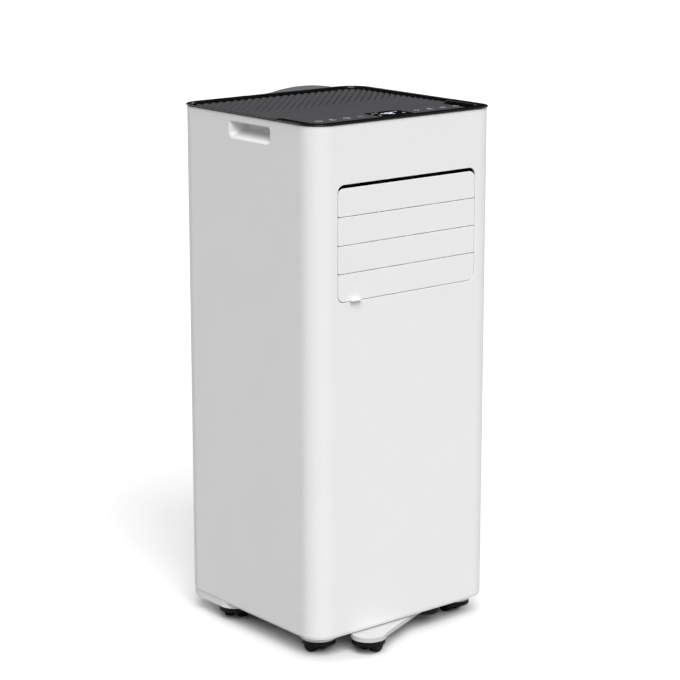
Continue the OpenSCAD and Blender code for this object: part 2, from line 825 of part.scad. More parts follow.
// Washable filter: a frame with a thin mesh in it.
module filter_panel(x, z_a, z_b, w) {
  y1 = hd - grille_t;
  y0 = y1 - filter_t;
  color("#5A5C5E") {
    difference() {
      span([x - w/2 + 1, y0, z_a + 1], [x + w/2 - 1, y1, z_b - 1]);
      span([x - w/2 + 6, y0 - cut, z_a + 6], [x + w/2 - 6, y1 + cut, z_b - 6]);
    }
    span([x - w/2 + 5, y0 + 1, z_a + 5], [x + w/2 - 5, y0 + 1.8, z_b - 5]);
    for (k = [-1, 0, 1]) span([x + k*w/4 - 1.5, y0 + 0.5, z_a + 5], [x + k*w/4 + 1.5, y1 - 0.2, z_b - 5]);
  }
}

module upper_intake_grille() { intake_grille(upper_x, upper_z0, upper_z1, upper_w); }
module upper_filter() { filter_panel(upper_x, upper_z0, upper_z1, upper_w); }
module lower_intake_grille() { intake_grille(0, lower_z0, lower_z1, lower_w); }
module lower_filter() { filter_panel(0, lower_z0, lower_z1, lower_w); }

// Inlet for the mains lead: a flanged rubber grommet.
module cord_gland() {
  color(caster_black) difference() {
    union() {
      bar_y([gland_x, hd, band_z], 12, 2.5);
      bar_y([gland_x, hd - wall, band_z], 8.8, wall + 6);
      bar_y([gland_x, hd - wall - 2.5, band_z], 11, 2.5);
    }
    bar_y([gland_x, hd - wall - 2.5 - cut, band_z], 4, wall + 8.5 + 2*cut);
  }
}

// Drain nozzle of the middle drip deck, poking out through the back.
module drain_nozzle() {
  color(shell_white) difference() {
    union() {
      bar_y([drain_x, hd - wall - 9, band_z], drain_r + 2, wall + 17);
      bar_y([drain_x, hd, band_z], drain_r + 5, 2);
    }
    bar_y([drain_x, hd - wall - 9 - cut, band_z], drain_r, wall + 17 + 2*cut);
  }
}

// Rubber cap that pushes over the nozzle.
module drain_cap() {
  y = hd + 2.4;
  color(duct_grey) difference() {
    bar_y([drain_x, y, band_z], drain_r + 4, 8);
    bar_y([drain_x, y - cut, band_z], drain_r + 2 + pin_fit, 5.6 + cut + 0.3);
  }
}

// ---------- machinery ----------

// Straight tube between two points.
module tube(a, b, r) {
  d = b - a;
  len = norm(d);
  translate(a) rotate([0, acos(d[2]/len), atan2(d[1], d[0])]) cylinder(h = len, r = r, $fn = 24);
}

// Tube through a list of points, with brazed elbows a little wider than the tube.
module pipe(points, r) {
  for (i = [0 : len(points) - 2]) tube(points[i], points[i + 1], r);
  for (i = [1 : len(points) - 2]) translate(points[i]) sphere(r + 0.8, $fn = 32);
}

// Hermetic compressor with its suction accumulator alongside.
module compressor() {
  dome = 22;
  color("#222426") {
    translate([comp_x, comp_y, comp_z0]) {
      difference() {
        cylinder(h = comp_h, r = comp_r);
        translate([0, 0, -cut]) cylinder(h = 8 + cut, r = comp_r - 8);
        translate([0, 0, 14]) cylinder(h = comp_h - 28, r = comp_r - 12);
      }
      translate([0, 0, 14]) cylinder(h = comp_h - 28, r = 26);
      translate([0, 0, comp_h]) cylinder(h = 6, r1 = comp_r - 4, r2 = comp_r - dome);
      for (a = comp_feet) rotate([0, 0, a]) difference() {
        translate([comp_r - 12, -13, 0]) cube([24, 26, 3]);
        translate([comp_foot_r, 0, -cut]) cylinder(h = 3 + 2*cut, r = 4.5);
      }
      translate([0, 0, comp_h + 6]) cylinder(h = 12, r = 20);
    }
    translate([acc_x, comp_y, comp_z0 + 30]) {
      cylinder(h = 120, r = 19);
      translate([-25, -5, 20]) cube([20, 10, 12]);
      translate([-25, -5, 90]) cube([20, 10, 12]);
    }
  }
}

// Three rubber feet under the compressor.
module compressor_grommets() {
  color(caster_black) translate([comp_x, comp_y, 0]) for (a = comp_feet) rotate([0, 0, a])
    bar_z([comp_foot_r, 0, z0], 9, comp_z0 - z0);
}

// Finned coil with hairpin bends at both ends.
module coil(x0, x1, y0, z_a, z_b) {
  fins = floor((x1 - x0)/12);
  bends = floor((z_b - z_a)/40);
  color("silver") difference() {
    span([x0, y0, z_a], [x1, y0 + coil_t, z_b]);
    for (i = [1 : fins - 1], s = [0, 1])
      span([x0 + i*(x1 - x0)/fins - 0.8, y0 + s*(coil_t - 4) - (1 - s)*cut, z_a + 3],
           [x0 + i*(x1 - x0)/fins + 0.8, y0 + 4 + s*(coil_t - 4) + s*cut, z_b - 3]);
  }
  color(copper_red) for (i = [0 : bends - 1], s = [-1, 1])
    translate([s < 0 ? x0 : x1, y0 + coil_t/2, z_a + 20 + i*(z_b - z_a - 20)/bends])
      rotate([90, s < 0 ? 90 : -90, 0]) rotate_extrude(angle = 180) translate([8, 0]) circle(3.5, $fn = 24);
}

module condenser_coil() { coil(-lower_w/2 + 6, lower_w/2 - 6, cond_y0, cond_z0, cond_z1); }
module evaporator_coil() {
  coil(ecoil_x0, ecoil_x1, cond_y0, evap_z0, evap_z1);
}

// Copper lines between compressor and coils.
module refrigerant_pipes() {
  top = comp_z0 + comp_h + 18;
  left = -lower_w/2 - 4;
  color(copper_red) {
    pipe([[comp_x, comp_y, top], [comp_x, comp_y, top + 22], [left, comp_y, top + 22],
          [left, cond_y0 + coil_t/2, top + 22], [-lower_w/2 + 6, cond_y0 + coil_t/2, top + 22]], 4);
    pipe([[acc_x, comp_y, comp_z0 + 150], [acc_x, comp_y, deck_z - 24],
          [suction_x, comp_y + 30, deck_z - 24], [suction_x, cond_y0 + 6, deck_z - 24],
          [suction_x, cond_y0 + 6, evap_z0 + 24], [ecoil_x0, cond_y0 + 6, evap_z0 + 24]], suction_r);
  }
}

// Centrifugal wheel with its shaft, axis along +Y from y.
module blower_wheel(cx, cz, y, r, w) {
  blades = 26;
  color("#3A3D40") translate([cx, y, cz]) rotate([-90, 0, 0]) {
    cylinder(h = 2, r = r);
    translate([0, 0, w - 4]) difference() {
      cylinder(h = 4, r = r);
      translate([0, 0, -cut]) cylinder(h = 4 + 2*cut, r = r - 10);
    }
    for (i = [0 : blades - 1]) rotate([0, 0, i*360/blades]) translate([r - 9, -0.8, 1]) rotate([0, 0, 25])
      cube([8, 1.6, w - 3]);
    cylinder(h = 16, r = 11);
    translate([0, 0, -motor_len + 4]) cylinder(h = motor_len, r = shaft_r);
  }
}

// Spiral housing: round chamber with an upright outlet, open at its top.
module blower_scroll(cx, cz, y0, r, w, ox0, ox1, top) {
  t = scroll_t;
  color(foam_white) difference() {
    along_y(y0, w) {
      translate([cx, cz]) circle(r);
      translate([ox0, cz]) square([ox1 - ox0, top - cz]);
    }
    along_y(y0 + t, w - 2*t) {
      translate([cx, cz]) circle(r - t);
      translate([ox0 + t, cz]) square([ox1 - ox0 - 2*t, top - cz + cut]);
    }
    bar_y([cx, y0 - cut, cz], 13, t + 2*cut);
    bar_y([cx, y0 + w - t - cut, cz], 0.74*r, t + 2*cut);
  }
}

// Motor with a bore for the wheel's shaft and a mounting ring on the scroll.
module fan_motor(cx, cz, y1) {
  color(steel_grey) difference() {
    union() {
      bar_y([cx, y1 - motor_len, cz], motor_r, motor_len - 6);
      bar_y([cx, y1 - 6, cz], 20, 6);
      for (a = [45 : 90 : 315]) translate([cx, 0, cz]) rotate([0, a, 0])
        span([motor_r - 6, y1 - 9, -5], [motor_r + 8, y1, 5]);
    }
    bar_y([cx, y1 - motor_len - cut, cz], shaft_r + run_fit, motor_len + 2*cut);
    for (a = [45 : 90 : 315]) translate([cx, 0, cz]) rotate([0, a, 0])
      bar_y([motor_r + 3.5, y1 - 10, 0], 2.2, 12);
  }
}

module condenser_fan() { blower_wheel(cfan_x, cfan_z, cscroll_y0 + 6, cond_fan_r, scroll_w - 14); }
module condenser_fan_motor() { fan_motor(cfan_x, cfan_z, cscroll_y0); }
module condenser_scroll() {
  blower_scroll(cfan_x, cfan_z, cscroll_y0, cond_fan_r + 12, scroll_w, riser_x0, riser_x1, riser_z0);
}

module evaporator_fan() { blower_wheel(efan_x, efan_z, escroll_y0 + 6, evap_fan_r, scroll_w - 14); }
module evaporator_fan_motor() { fan_motor(efan_x, efan_z, escroll_y0); }
module evaporator_scroll() {
  r = evap_fan_r + 12;
  blower_scroll(efan_x, efan_z, escroll_y0, r, scroll_w, efan_x - r, efan_x - r + 62, plenum_z0);
}

// Foam duct that turns the cold air from the blower forward to the louver.
module air_plenum() {
  x = frame_in_w/2 + frame_t;
  t = 3;
  mid = escroll_y0 - 14;
  top = frame_in_z1 + frame_t;
  low = frame_in_z0 - frame_t;
  color(foam_white) difference() {
    union() {
      span([-x, frame_y1, low], [x, mid, top]);
      span([-x, mid - cut, plenum_z0], [plenum_x1, plenum_y1, top]);
    }
    span([-x + t, frame_y1 - cut, low + t], [x - t, mid - t, top - t]);
    span([-x + t, mid - 2*t, plenum_z0 + t], [plenum_x1 - t, plenum_y1 - t, top - t]);
    span([efan_x - evap_fan_r - 10, escroll_y0 + 2, plenum_z0 - cut],
         [efan_x - evap_fan_r + 48, plenum_y1 - t, plenum_z0 + t + cut]);
    // clearance over the evaporator motor
    bar_y([efan_x, frame_y1 + 20, efan_z], motor_r + 2, cab_d/2);
  }
}

// Shelf between the two air paths, with a raised rim to catch condensate.
module drip_deck() {
  w = in_w - 2*lip_t - 1;
  d = in_d - 1;
  r = in_r - 1;
  color(shell_white) difference() {
    union() {
      translate([0, 0, deck_z]) linear_extrude(deck_t) rounded(w, d, r);
      translate([0, 0, deck_z + deck_t]) linear_extrude(8) difference() {
        rounded(w - 6, d - 6, r - 3);
        rounded(w - 9, d - 9, r - 4.5);
      }
    }
    span([riser_x0 - 0.5, cscroll_y0 - 0.5, deck_z - cut], [riser_x1 + 0.5, box_y0 + 20.5, deck_z + 12]);
    bar_z([suction_x, cond_y0 + 6, deck_z - cut], suction_r + 2, deck_t + 2*cut);
  }
}

// Electrical box on the right: open towards the front, closed by the shell.
module control_box() {
  color(steel_grey) difference() {
    span([box_x0, -hd + 40, box_z0], [box_x1, -hd + 130, box_z0 + 88]);
    span([box_x0 + box_t, -hd + 40 - cut, box_z0 + box_t],
         [box_x1 - box_t, -hd + 130 - box_t, box_z0 + 88 - box_t]);
  }
}

module main_board() {
  y = -hd + 118;
  color("darkgreen") {
    span([box_x0 + 4, y, box_z0 + 6], [box_x1 - 4, y + 1.6, box_z0 + 82]);
    for (x = [box_x0 + 10, box_x0 + 28, box_x0 + 46])
      span([x, y - 14, box_z0 + 56], [x + 12, y, box_z0 + 72]);
    span([box_x0 + 8, y - 20, box_z0 + 12], [box_x0 + 34, y, box_z0 + 40]);
    for (z = [10, 76]) for (x = [box_x0 + 8, box_x1 - 8]) bar_y([x, y + 1.6, box_z0 + z], 3, 8.9);
  }
}

module run_capacitor() {
  x = box_x1 - 20;
  y = -hd + 48;
  z = box_z0 + 18;
  color("silver") {
    bar_y([x, y, z], 16, 46);
    for (s = [-1, 1]) span([x + 6*s - 2, y - 5, z - 0.5], [x + 6*s + 2, y, z + 0.5]);
  }
}

// Self-tapping screws with dished heads, all of one size.
module screw_y(x, y, z) {
  difference() {
    bar_y([x, y, z], screw_r, screw_h);
    bar_y([x, y + 0.9, z], 1.2, 1);
  }
}

module cabinet_screws() {
  side = hw - corner_r - 4;
  color(steel_grey) {
    for (x = [-side, side], z = [z0 + 14, band_z, z1 - 34]) if (x < 0 || z < z1 - 60) screw_y(x, hd, z);
    for (s = [-1, 1]) translate([s*(hw - handle_d), -handle_fwd - 24, handle_z1 - handle_floor/2])
      rotate([0, s*90, 0]) cylinder(h = screw_h, r = screw_r);
  }
}

front_panel();
left_side_panel();
right_side_panel();
rear_panel();
base_pan();
top_cover();
control_panel();
display_window();
touch_board();
air_outlet_frame();
louver_slat_1();
louver_slat_2();
louver_slat_3();
louver_slat_4();
louver_link();
air_vane_1();
air_vane_2();
air_vane_3();
air_vane_4();
vane_link();
exhaust_duct();
exhaust_connector();
upper_intake_grille();
upper_filter();
lower_intake_grille();
lower_filter();
cord_gland();
drain_nozzle();
drain_cap();
sump_plug();
front_foot();
foot_cap();
front_left_caster_hood();
front_left_caster_wheels();
front_right_caster_hood();
front_right_caster_wheels();
rear_left_caster_hood();
rear_left_caster_wheels();
rear_right_caster_hood();
rear_right_caster_wheels();
foot_caster_hood();
foot_caster_wheels();
compressor();
compressor_grommets();
condenser_coil();
evaporator_coil();
refrigerant_pipes();
condenser_fan();
condenser_fan_motor();
condenser_scroll();
evaporator_fan();
evaporator_fan_motor();
evaporator_scroll();
drip_deck();
air_plenum();
control_box();
main_board();
run_capacitor();
cabinet_screws();
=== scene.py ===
import json
import math

import bmesh
import bpy
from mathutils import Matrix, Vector
from mathutils.geometry import delaunay_2d_cdt


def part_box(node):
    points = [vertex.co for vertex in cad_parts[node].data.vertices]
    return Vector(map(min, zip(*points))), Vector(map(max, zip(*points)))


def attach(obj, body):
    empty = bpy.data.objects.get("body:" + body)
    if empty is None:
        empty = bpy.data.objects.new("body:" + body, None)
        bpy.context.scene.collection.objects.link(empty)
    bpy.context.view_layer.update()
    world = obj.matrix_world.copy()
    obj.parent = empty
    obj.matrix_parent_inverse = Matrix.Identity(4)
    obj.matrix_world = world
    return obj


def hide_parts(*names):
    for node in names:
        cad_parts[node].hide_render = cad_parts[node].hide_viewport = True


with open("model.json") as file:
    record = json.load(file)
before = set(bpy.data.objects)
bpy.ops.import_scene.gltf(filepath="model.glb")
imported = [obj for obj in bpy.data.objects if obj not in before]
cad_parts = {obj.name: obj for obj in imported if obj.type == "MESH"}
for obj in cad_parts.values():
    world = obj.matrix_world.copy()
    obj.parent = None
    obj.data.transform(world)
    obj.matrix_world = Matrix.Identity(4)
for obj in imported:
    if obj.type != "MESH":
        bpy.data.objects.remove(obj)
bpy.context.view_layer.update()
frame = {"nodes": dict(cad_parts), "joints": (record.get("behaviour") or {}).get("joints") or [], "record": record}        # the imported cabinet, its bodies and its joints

record = frame["record"]
mm = 0.001
print("frame loaded:", len(frame["nodes"]), "nodes")


# ---- small tools ----

def linear(hexColour):  # sRGB hex to the linear values that shaders take
    values = [int(hexColour[i:i + 2], 16)/255 for i in (1, 3, 5)]
    return [v/12.92 if v <= 0.04045 else ((v + 0.055)/1.055)**2.4 for v in values] + [1.0]


def addNode(tree, kind, settings=None, links=None):
    node = tree.nodes.new(kind)
    for name, value in (settings or {}).items():
        if isinstance(name, int) or name in node.inputs:
            node.inputs[name].default_value = value
        else:
            setattr(node, name, value)
    for name, source in (links or {}).items():
        tree.links.new(source, node.inputs[name])
    return node


def startMaterial(name):
    material = bpy.data.materials.new(name)
    material.use_nodes = True
    material.node_tree.nodes.clear()
    return material, material.node_tree


def openingBox(name):  # a stated opening of the record, as its two corners
    found = [o for o in record["physics"]["openings"] if o["name"] == name][0]
    return Vector(found["box_m"][0]), Vector(found["box_m"][1])


def jointNamed(name):
    return [j for j in frame["joints"] if j["name"] == name][0]


# ---- materials ----

# ABS, injection moulded in a spark-eroded tool: an even satin skin that catches soft highlights.
# The real grain is about 0.3 mm, and is drawn at 1.2 mm so that it shows at all.
whiteAbs = {"name": "mouldedWhiteAbs", "colour": "#F1F1F1", "shade": "#EDEDED", "ior": 1.53,
            "roughness": (0.33, 0.40), "grain": 1.2*mm, "depth": 0.006*mm, "cloud": 70*mm}
# The foot's ABS is the shell's white drawn duller as painted shade, which keeps its sunlit top from washing
# out.
footShadedAbs = {"name": "paintedShadeWhiteAbs", "colour": "#D2D2D2", "shade": "#CBCBCB", "ior": 1.53,
           "roughness": (0.42, 0.50), "grain": 1.2*mm, "depth": 0.006*mm, "cloud": 40*mm}
# The lid's tray and rim are polished black ABS: mirror-like at low angles, so they read as black.
lidAbs = {"name": "polishedBlackAbs", "colour": "#0E0F10", "shade": "#0B0B0C", "ior": 1.38,
          "roughness": (0.13, 0.18), "grain": 1.6*mm, "depth": 0.001*mm, "cloud": 40*mm}
# The ridged field has a coarse, dull grain against scratches, which greys it at low angles; its base colour
# is also set lighter than the rim's black as a painted sheen.
ridgeSheenAbs = {"name": "grainedBlackAbsPaintedSheen", "colour": "#343537", "shade": "#2C2D2F", "ior": 1.53,
            "roughness": (0.55, 0.66), "grain": 0.9*mm, "depth": 0.012*mm, "cloud": 30*mm}
# Touch surface: a hard-coated film with an even silky haze and no grain.
touchFilm = {"name": "hardCoatedTouchFilm", "colour": "#3A3B3D", "shade": "#343537", "ior": 1.49,
             "roughness": (0.50, 0.56), "grain": 1.6*mm, "depth": 0.002*mm, "cloud": 50*mm}
# Glass-filled nylon of the casters: fibres near the skin leave it cloudy and slightly rough.
casterNylon = {"name": "mouldedGlassFilledNylon", "colour": "#060607", "shade": "#040405", "ior": 1.36,
               "roughness": (0.42, 0.58), "grain": 0.8*mm, "depth": 0.014*mm, "cloud": 9*mm}
# Polypropylene of the exhaust connector: waxy, matt, faintly marbled grey.
ductPolypropylene = {"name": "mouldedGreyPolypropylene", "colour": "#85878A", "shade": "#7B7D80",
                     "ior": 1.49, "roughness": (0.46, 0.56), "grain": 1.4*mm, "depth": 0.014*mm,
                     "cloud": 30*mm}
# Black ABS of the outlet box and its vanes, matt so that it stays dark behind the louver.
outletAbs = {"name": "mouldedMattBlackAbs", "colour": "#141516", "shade": "#0F1011", "ior": 1.53,
             "roughness": (0.55, 0.65), "grain": 0.7*mm, "depth": 0.010*mm, "cloud": 25*mm}
# Talc-filled polypropylene of the blower wheels.
fanPolypropylene = {"name": "mouldedFanPolypropylene", "colour": "#3B3E41", "shade": "#333639",
                    "ior": 1.49, "roughness": (0.5, 0.6), "grain": 1.0*mm, "depth": 0.01*mm,
                    "cloud": 18*mm}
# Nitrile rubber, compression moulded: nearly no gloss and a dusty bloom.
nitrile = {"name": "mouldedNitrileRubber", "colour": "#26272A", "shade": "#323337", "ior": 1.52,
           "roughness": (0.72, 0.86), "grain": 0.6*mm, "depth": 0.02*mm, "cloud": 6*mm}


def mouldedPlastic(finish):
    material, tree = startMaterial(finish["name"])
    place = addNode(tree, "ShaderNodeTexCoord")
    cloud = addNode(tree, "ShaderNodeTexNoise", {"Scale": 1/finish["cloud"], "Detail": 3.0},
                    {"Vector": place.outputs["Object"]})
    colour = addNode(tree, "ShaderNodeMix", {"data_type": "RGBA", 6: linear(finish["colour"]),
                                             7: linear(finish["shade"])}, {0: cloud.outputs["Fac"]})
    gloss = addNode(tree, "ShaderNodeMapRange", {"From Min": 0.3, "From Max": 0.7,
                                                 "To Min": finish["roughness"][0],
                                                 "To Max": finish["roughness"][1]},
                    {"Value": cloud.outputs["Fac"]})
    grain = addNode(tree, "ShaderNodeTexNoise", {"Scale": 1/finish["grain"], "Detail": 2.0},
                    {"Vector": place.outputs["Object"]})
    relief = addNode(tree, "ShaderNodeBump", {"Strength": 1.0, "Distance": finish["depth"]},
                     {"Height": grain.outputs["Fac"]})
    shader = addNode(tree, "ShaderNodeBsdfPrincipled", {"IOR": finish["ior"]},
                     {"Base Color": colour.outputs[2], "Roughness": gloss.outputs["Result"],
                      "Normal": relief.outputs["Normal"]})
    addNode(tree, "ShaderNodeOutputMaterial", {}, {"Surface": shader.outputs["BSDF"]})
    return material


# Acrylic, tinted nearly black and polished: the deepest, sharpest reflections on the object.
acrylic = {"colour": "#060607", "haze": 22*mm, "roughness": (0.05, 0.10)}


def polishedTintedAcrylic():
    material, tree = startMaterial("polishedTintedAcrylic")
    place = addNode(tree, "ShaderNodeTexCoord")
    haze = addNode(tree, "ShaderNodeTexNoise", {"Scale": 1/acrylic["haze"], "Detail": 4.0},
                   {"Vector": place.outputs["Object"]})
    gloss = addNode(tree, "ShaderNodeMapRange", {"To Min": acrylic["roughness"][0],
                                                 "To Max": acrylic["roughness"][1]},
                    {"Value": haze.outputs["Fac"]})
    shader = addNode(tree, "ShaderNodeBsdfPrincipled", {"Base Color": linear(acrylic["colour"]),
                                                        "IOR": 1.49},
                     {"Roughness": gloss.outputs["Result"]})
    addNode(tree, "ShaderNodeOutputMaterial", {}, {"Surface": shader.outputs["BSDF"]})
    return material


# White ink, screen printed: a thin layer with a slightly mottled, toothy surface.
ink = {"colour": "#C9CBCE", "shade": "#B4B6BA", "mottle": 0.8*mm}


def screenPrintedInk():
    material, tree = startMaterial("screenPrintedInk")
    place = addNode(tree, "ShaderNodeTexCoord")
    mottle = addNode(tree, "ShaderNodeTexNoise", {"Scale": 1/ink["mottle"]},
                     {"Vector": place.outputs["Object"]})
    colour = addNode(tree, "ShaderNodeMix", {"data_type": "RGBA", 6: linear(ink["colour"]),
                                             7: linear(ink["shade"])}, {0: mottle.outputs["Fac"]})
    shader = addNode(tree, "ShaderNodeBsdfPrincipled", {"Roughness": 0.6},
                     {"Base Color": colour.outputs[2]})
    addNode(tree, "ShaderNodeOutputMaterial", {}, {"Surface": shader.outputs["BSDF"]})
    return material


# Light-emitting segments behind the window: white with a faint cool edge.
segmentLight = {"colour": "#F4F8FF", "edge": "#DCE6F4", "power": 0.55, "cell": 0.5*mm}


def litSegment():
    material, tree = startMaterial("litSegment")
    place = addNode(tree, "ShaderNodeTexCoord")
    cell = addNode(tree, "ShaderNodeTexVoronoi", {"Scale": 1/segmentLight["cell"]},
                   {"Vector": place.outputs["Object"]})
    colour = addNode(tree, "ShaderNodeMix", {"data_type": "RGBA", 6: linear(segmentLight["colour"]),
                                             7: linear(segmentLight["edge"])},
                     {0: cell.outputs["Distance"]})
    shader = addNode(tree, "ShaderNodeBsdfPrincipled", {"Roughness": 0.4,
                                                        "Emission Strength": segmentLight["power"]},
                     {"Base Color": colour.outputs[2], "Emission Color": colour.outputs[2]})
    addNode(tree, "ShaderNodeOutputMaterial", {}, {"Surface": shader.outputs["BSDF"]})
    return material


# Nylon monofilament, woven plain at 1.2 mm: two crossed sets of round threads, with the gaps between them
# painted near-black as painted shade.
filterMesh = {"colour": "#3A3C3F", "gap": "#08090A", "thread": 1.2*mm}


def wovenNylonMesh():
    material, tree = startMaterial("wovenNylonMesh")
    place = addNode(tree, "ShaderNodeTexCoord")
    threads = []
    for direction in ("X", "Z"):
        threads.append(addNode(tree, "ShaderNodeTexWave",
                               {"bands_direction": direction, "Scale": 0.314/filterMesh["thread"],
                                "Distortion": 0.0}, {"Vector": place.outputs["Object"]}))
    weave = addNode(tree, "ShaderNodeMath", {"operation": "MAXIMUM"},
                    {0: threads[0].outputs["Fac"], 1: threads[1].outputs["Fac"]})
    # Between the threads the colour is painted shade.
    colour = addNode(tree, "ShaderNodeMix", {"data_type": "RGBA", 6: linear(filterMesh["gap"]),
                                             7: linear(filterMesh["colour"])},
                     {0: weave.outputs["Value"]})
    relief = addNode(tree, "ShaderNodeBump", {"Strength": 0.8, "Distance": 0.25*mm},
                     {"Height": weave.outputs["Value"]})
    shader = addNode(tree, "ShaderNodeBsdfPrincipled", {"Roughness": 0.55},
                     {"Base Color": colour.outputs[2], "Normal": relief.outputs["Normal"]})
    addNode(tree, "ShaderNodeOutputMaterial", {}, {"Surface": shader.outputs["BSDF"]})
    return material


# Expanded polystyrene: white beads pressed together, a fine crease round each, darkened as painted shade.
foam = {"colour": "#E4E8EA", "crease": "#C2C8CC", "bead": 3.5*mm}


def expandedPolystyrene():
    material, tree = startMaterial("expandedPolystyrene")
    place = addNode(tree, "ShaderNodeTexCoord")
    beads = addNode(tree, "ShaderNodeTexVoronoi", {"feature": "DISTANCE_TO_EDGE",
                                                   "Scale": 1/foam["bead"]},
                    {"Vector": place.outputs["Object"]})
    edge = addNode(tree, "ShaderNodeMapRange", {"From Max": 0.12}, {"Value": beads.outputs["Distance"]})
    # The creases between beads take a darker colour: painted shade.
    colour = addNode(tree, "ShaderNodeMix", {"data_type": "RGBA", 6: linear(foam["crease"]),
                                             7: linear(foam["colour"])}, {0: edge.outputs["Result"]})
    relief = addNode(tree, "ShaderNodeBump", {"Strength": 0.6, "Distance": 0.3*mm},
                     {"Height": edge.outputs["Result"]})
    shader = addNode(tree, "ShaderNodeBsdfPrincipled", {"Roughness": 0.85},
                     {"Base Color": colour.outputs[2], "Normal": relief.outputs["Normal"]})
    addNode(tree, "ShaderNodeOutputMaterial", {}, {"Surface": shader.outputs["BSDF"]})
    return material


# Glass-epoxy board under green solder mask: tracks show as faint raised lines.
board = {"colour": "#0E4A28", "track": "#1B6B3C", "pitch": 2.5*mm}


def solderMaskedBoard():
    material, tree = startMaterial("solderMaskedBoard")
    place = addNode(tree, "ShaderNodeTexCoord")
    tracks = addNode(tree, "ShaderNodeTexBrick", {"Scale": 1/board["pitch"], "Mortar Size": 0.08,
                                                  "Color1": linear(board["colour"]),
                                                  "Color2": linear(board["colour"]),
                                                  "Mortar": linear(board["track"])},
                     {"Vector": place.outputs["Object"]})
    relief = addNode(tree, "ShaderNodeBump", {"Strength": 0.4, "Distance": 0.05*mm},
                     {"Height": tracks.outputs["Fac"]})
    shader = addNode(tree, "ShaderNodeBsdfPrincipled", {"Roughness": 0.28},
                     {"Base Color": tracks.outputs["Color"], "Normal": relief.outputs["Normal"]})
    addNode(tree, "ShaderNodeOutputMaterial", {}, {"Surface": shader.outputs["BSDF"]})
    return material


# Aluminium fin stock, stamped and stacked 1.4 mm apart: bright edges, with the gaps between them painted
# dark as painted shade.
fins = {"colour": "#D9DCDF", "gap": "#6E7276", "pitch": 1.4*mm}


def stackedAluminiumFins():
    material, tree = startMaterial("stackedAluminiumFins")
    place = addNode(tree, "ShaderNodeTexCoord")
    stack = addNode(tree, "ShaderNodeTexWave", {"bands_direction": "X", "Scale": 0.314/fins["pitch"]},
                    {"Vector": place.outputs["Object"]})
    # The gap colour between the fins is painted shade.
    colour = addNode(tree, "ShaderNodeMix", {"data_type": "RGBA", 6: linear(fins["gap"]),
                                             7: linear(fins["colour"])}, {0: stack.outputs["Fac"]})
    relief = addNode(tree, "ShaderNodeBump", {"Strength": 0.7, "Distance": 0.3*mm},
                     {"Height": stack.outputs["Fac"]})
    shader = addNode(tree, "ShaderNodeBsdfPrincipled", {"Metallic": 1.0, "Roughness": 0.38},
                     {"Base Color": colour.outputs[2], "Normal": relief.outputs["Normal"]})
    addNode(tree, "ShaderNodeOutputMaterial", {}, {"Surface": shader.outputs["BSDF"]})
    return material


# Metals that are plain but for stains: drawn copper, zinc plate and enamelled steel.
metalFinishes = {
    "drawnCopper": {"colour": "#C77B4E", "stain": "#8A5234", "metallic": 1.0, "roughness": 0.32,
                    "patch": 12*mm, "depth": 0.02*mm},
    "zincPlatedSteel": {"colour": "#BFC3C6", "stain": "#9CA2A6", "metallic": 1.0, "roughness": 0.35,
                        "patch": 5*mm, "depth": 0.008*mm},
    "enamelledSteel": {"colour": "#1A1B1D", "stain": "#111213", "metallic": 0.0, "roughness": 0.30,
                       "patch": 3*mm, "depth": 0.03*mm},
}


def stainedMetal(name):
    finish = metalFinishes[name]
    material, tree = startMaterial(name)
    place = addNode(tree, "ShaderNodeTexCoord")
    patch = addNode(tree, "ShaderNodeTexVoronoi", {"Scale": 1/finish["patch"]},
                    {"Vector": place.outputs["Object"]})
    colour = addNode(tree, "ShaderNodeMix", {"data_type": "RGBA", 6: linear(finish["colour"]),
                                             7: linear(finish["stain"])},
                     {0: patch.outputs["Distance"]})
    relief = addNode(tree, "ShaderNodeBump", {"Strength": 0.5, "Distance": finish["depth"]},
                     {"Height": patch.outputs["Distance"]})
    shader = addNode(tree, "ShaderNodeBsdfPrincipled", {"Metallic": finish["metallic"],
                                                        "Roughness": finish["roughness"]},
                     {"Base Color": colour.outputs[2], "Normal": relief.outputs["Normal"]})
    addNode(tree, "ShaderNodeOutputMaterial", {}, {"Surface": shader.outputs["BSDF"]})
    return material


slotMaterials = {
    "shell_white": mouldedPlastic(whiteAbs),
    "lid_black": mouldedPlastic(lidAbs),
    "control_gloss": mouldedPlastic(touchFilm),
    "display_glass": polishedTintedAcrylic(),
    "caster_black": mouldedPlastic(casterNylon),
    "duct_grey": mouldedPlastic(ductPolypropylene),
    "outlet_black": mouldedPlastic(outletAbs),
    "rubber_dark": mouldedPlastic(nitrile),
    "filter_mesh": wovenNylonMesh(),
    "foam_white": expandedPolystyrene(),
    "board_green": solderMaskedBoard(),
    "coil_aluminium": stackedAluminiumFins(),
    "copper": stainedMetal("drawnCopper"),
    "steel_plated": stainedMetal("zincPlatedSteel"),
    "compressor_paint": stainedMetal("enamelledSteel"),
    "fan_grey": mouldedPlastic(fanPolypropylene),
}
inkMaterial = screenPrintedInk()
segmentMaterial = litSegment()
slotOf = {s["node"]: s["material_slot"] for s in record["subparts"]}
bodyOf = {node: body for body, nodes in record["behaviour"]["bodies"].items() for node in nodes}

for node, thing in frame["nodes"].items():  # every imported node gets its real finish
    thing.data.materials.clear()
    thing.data.materials.append(slotMaterials[slotOf[node]])
print("materials ready:", len(bpy.data.materials))


# ---- mesh tools ----

def roundRect(u0, u1, v0, v1, r, steps=8):  # counterclockwise from the lower right corner
    points = []
    for cu, cv, start in ((u1 - r, v0 + r, -90), (u1 - r, v1 - r, 0), (u0 + r, v1 - r, 90),
                          (u0 + r, v0 + r, 180)):
        for i in range(steps + 1):
            turn = math.radians(start + 90*i/steps)
            points.append((cu + r*math.cos(turn), cv + r*math.sin(turn)))
    return points


def ringPoints(cu, cv, r, steps=48):
    return [(cu + r*math.cos(2*math.pi*i/steps), cv + r*math.sin(2*math.pi*i/steps))
            for i in range(steps)]


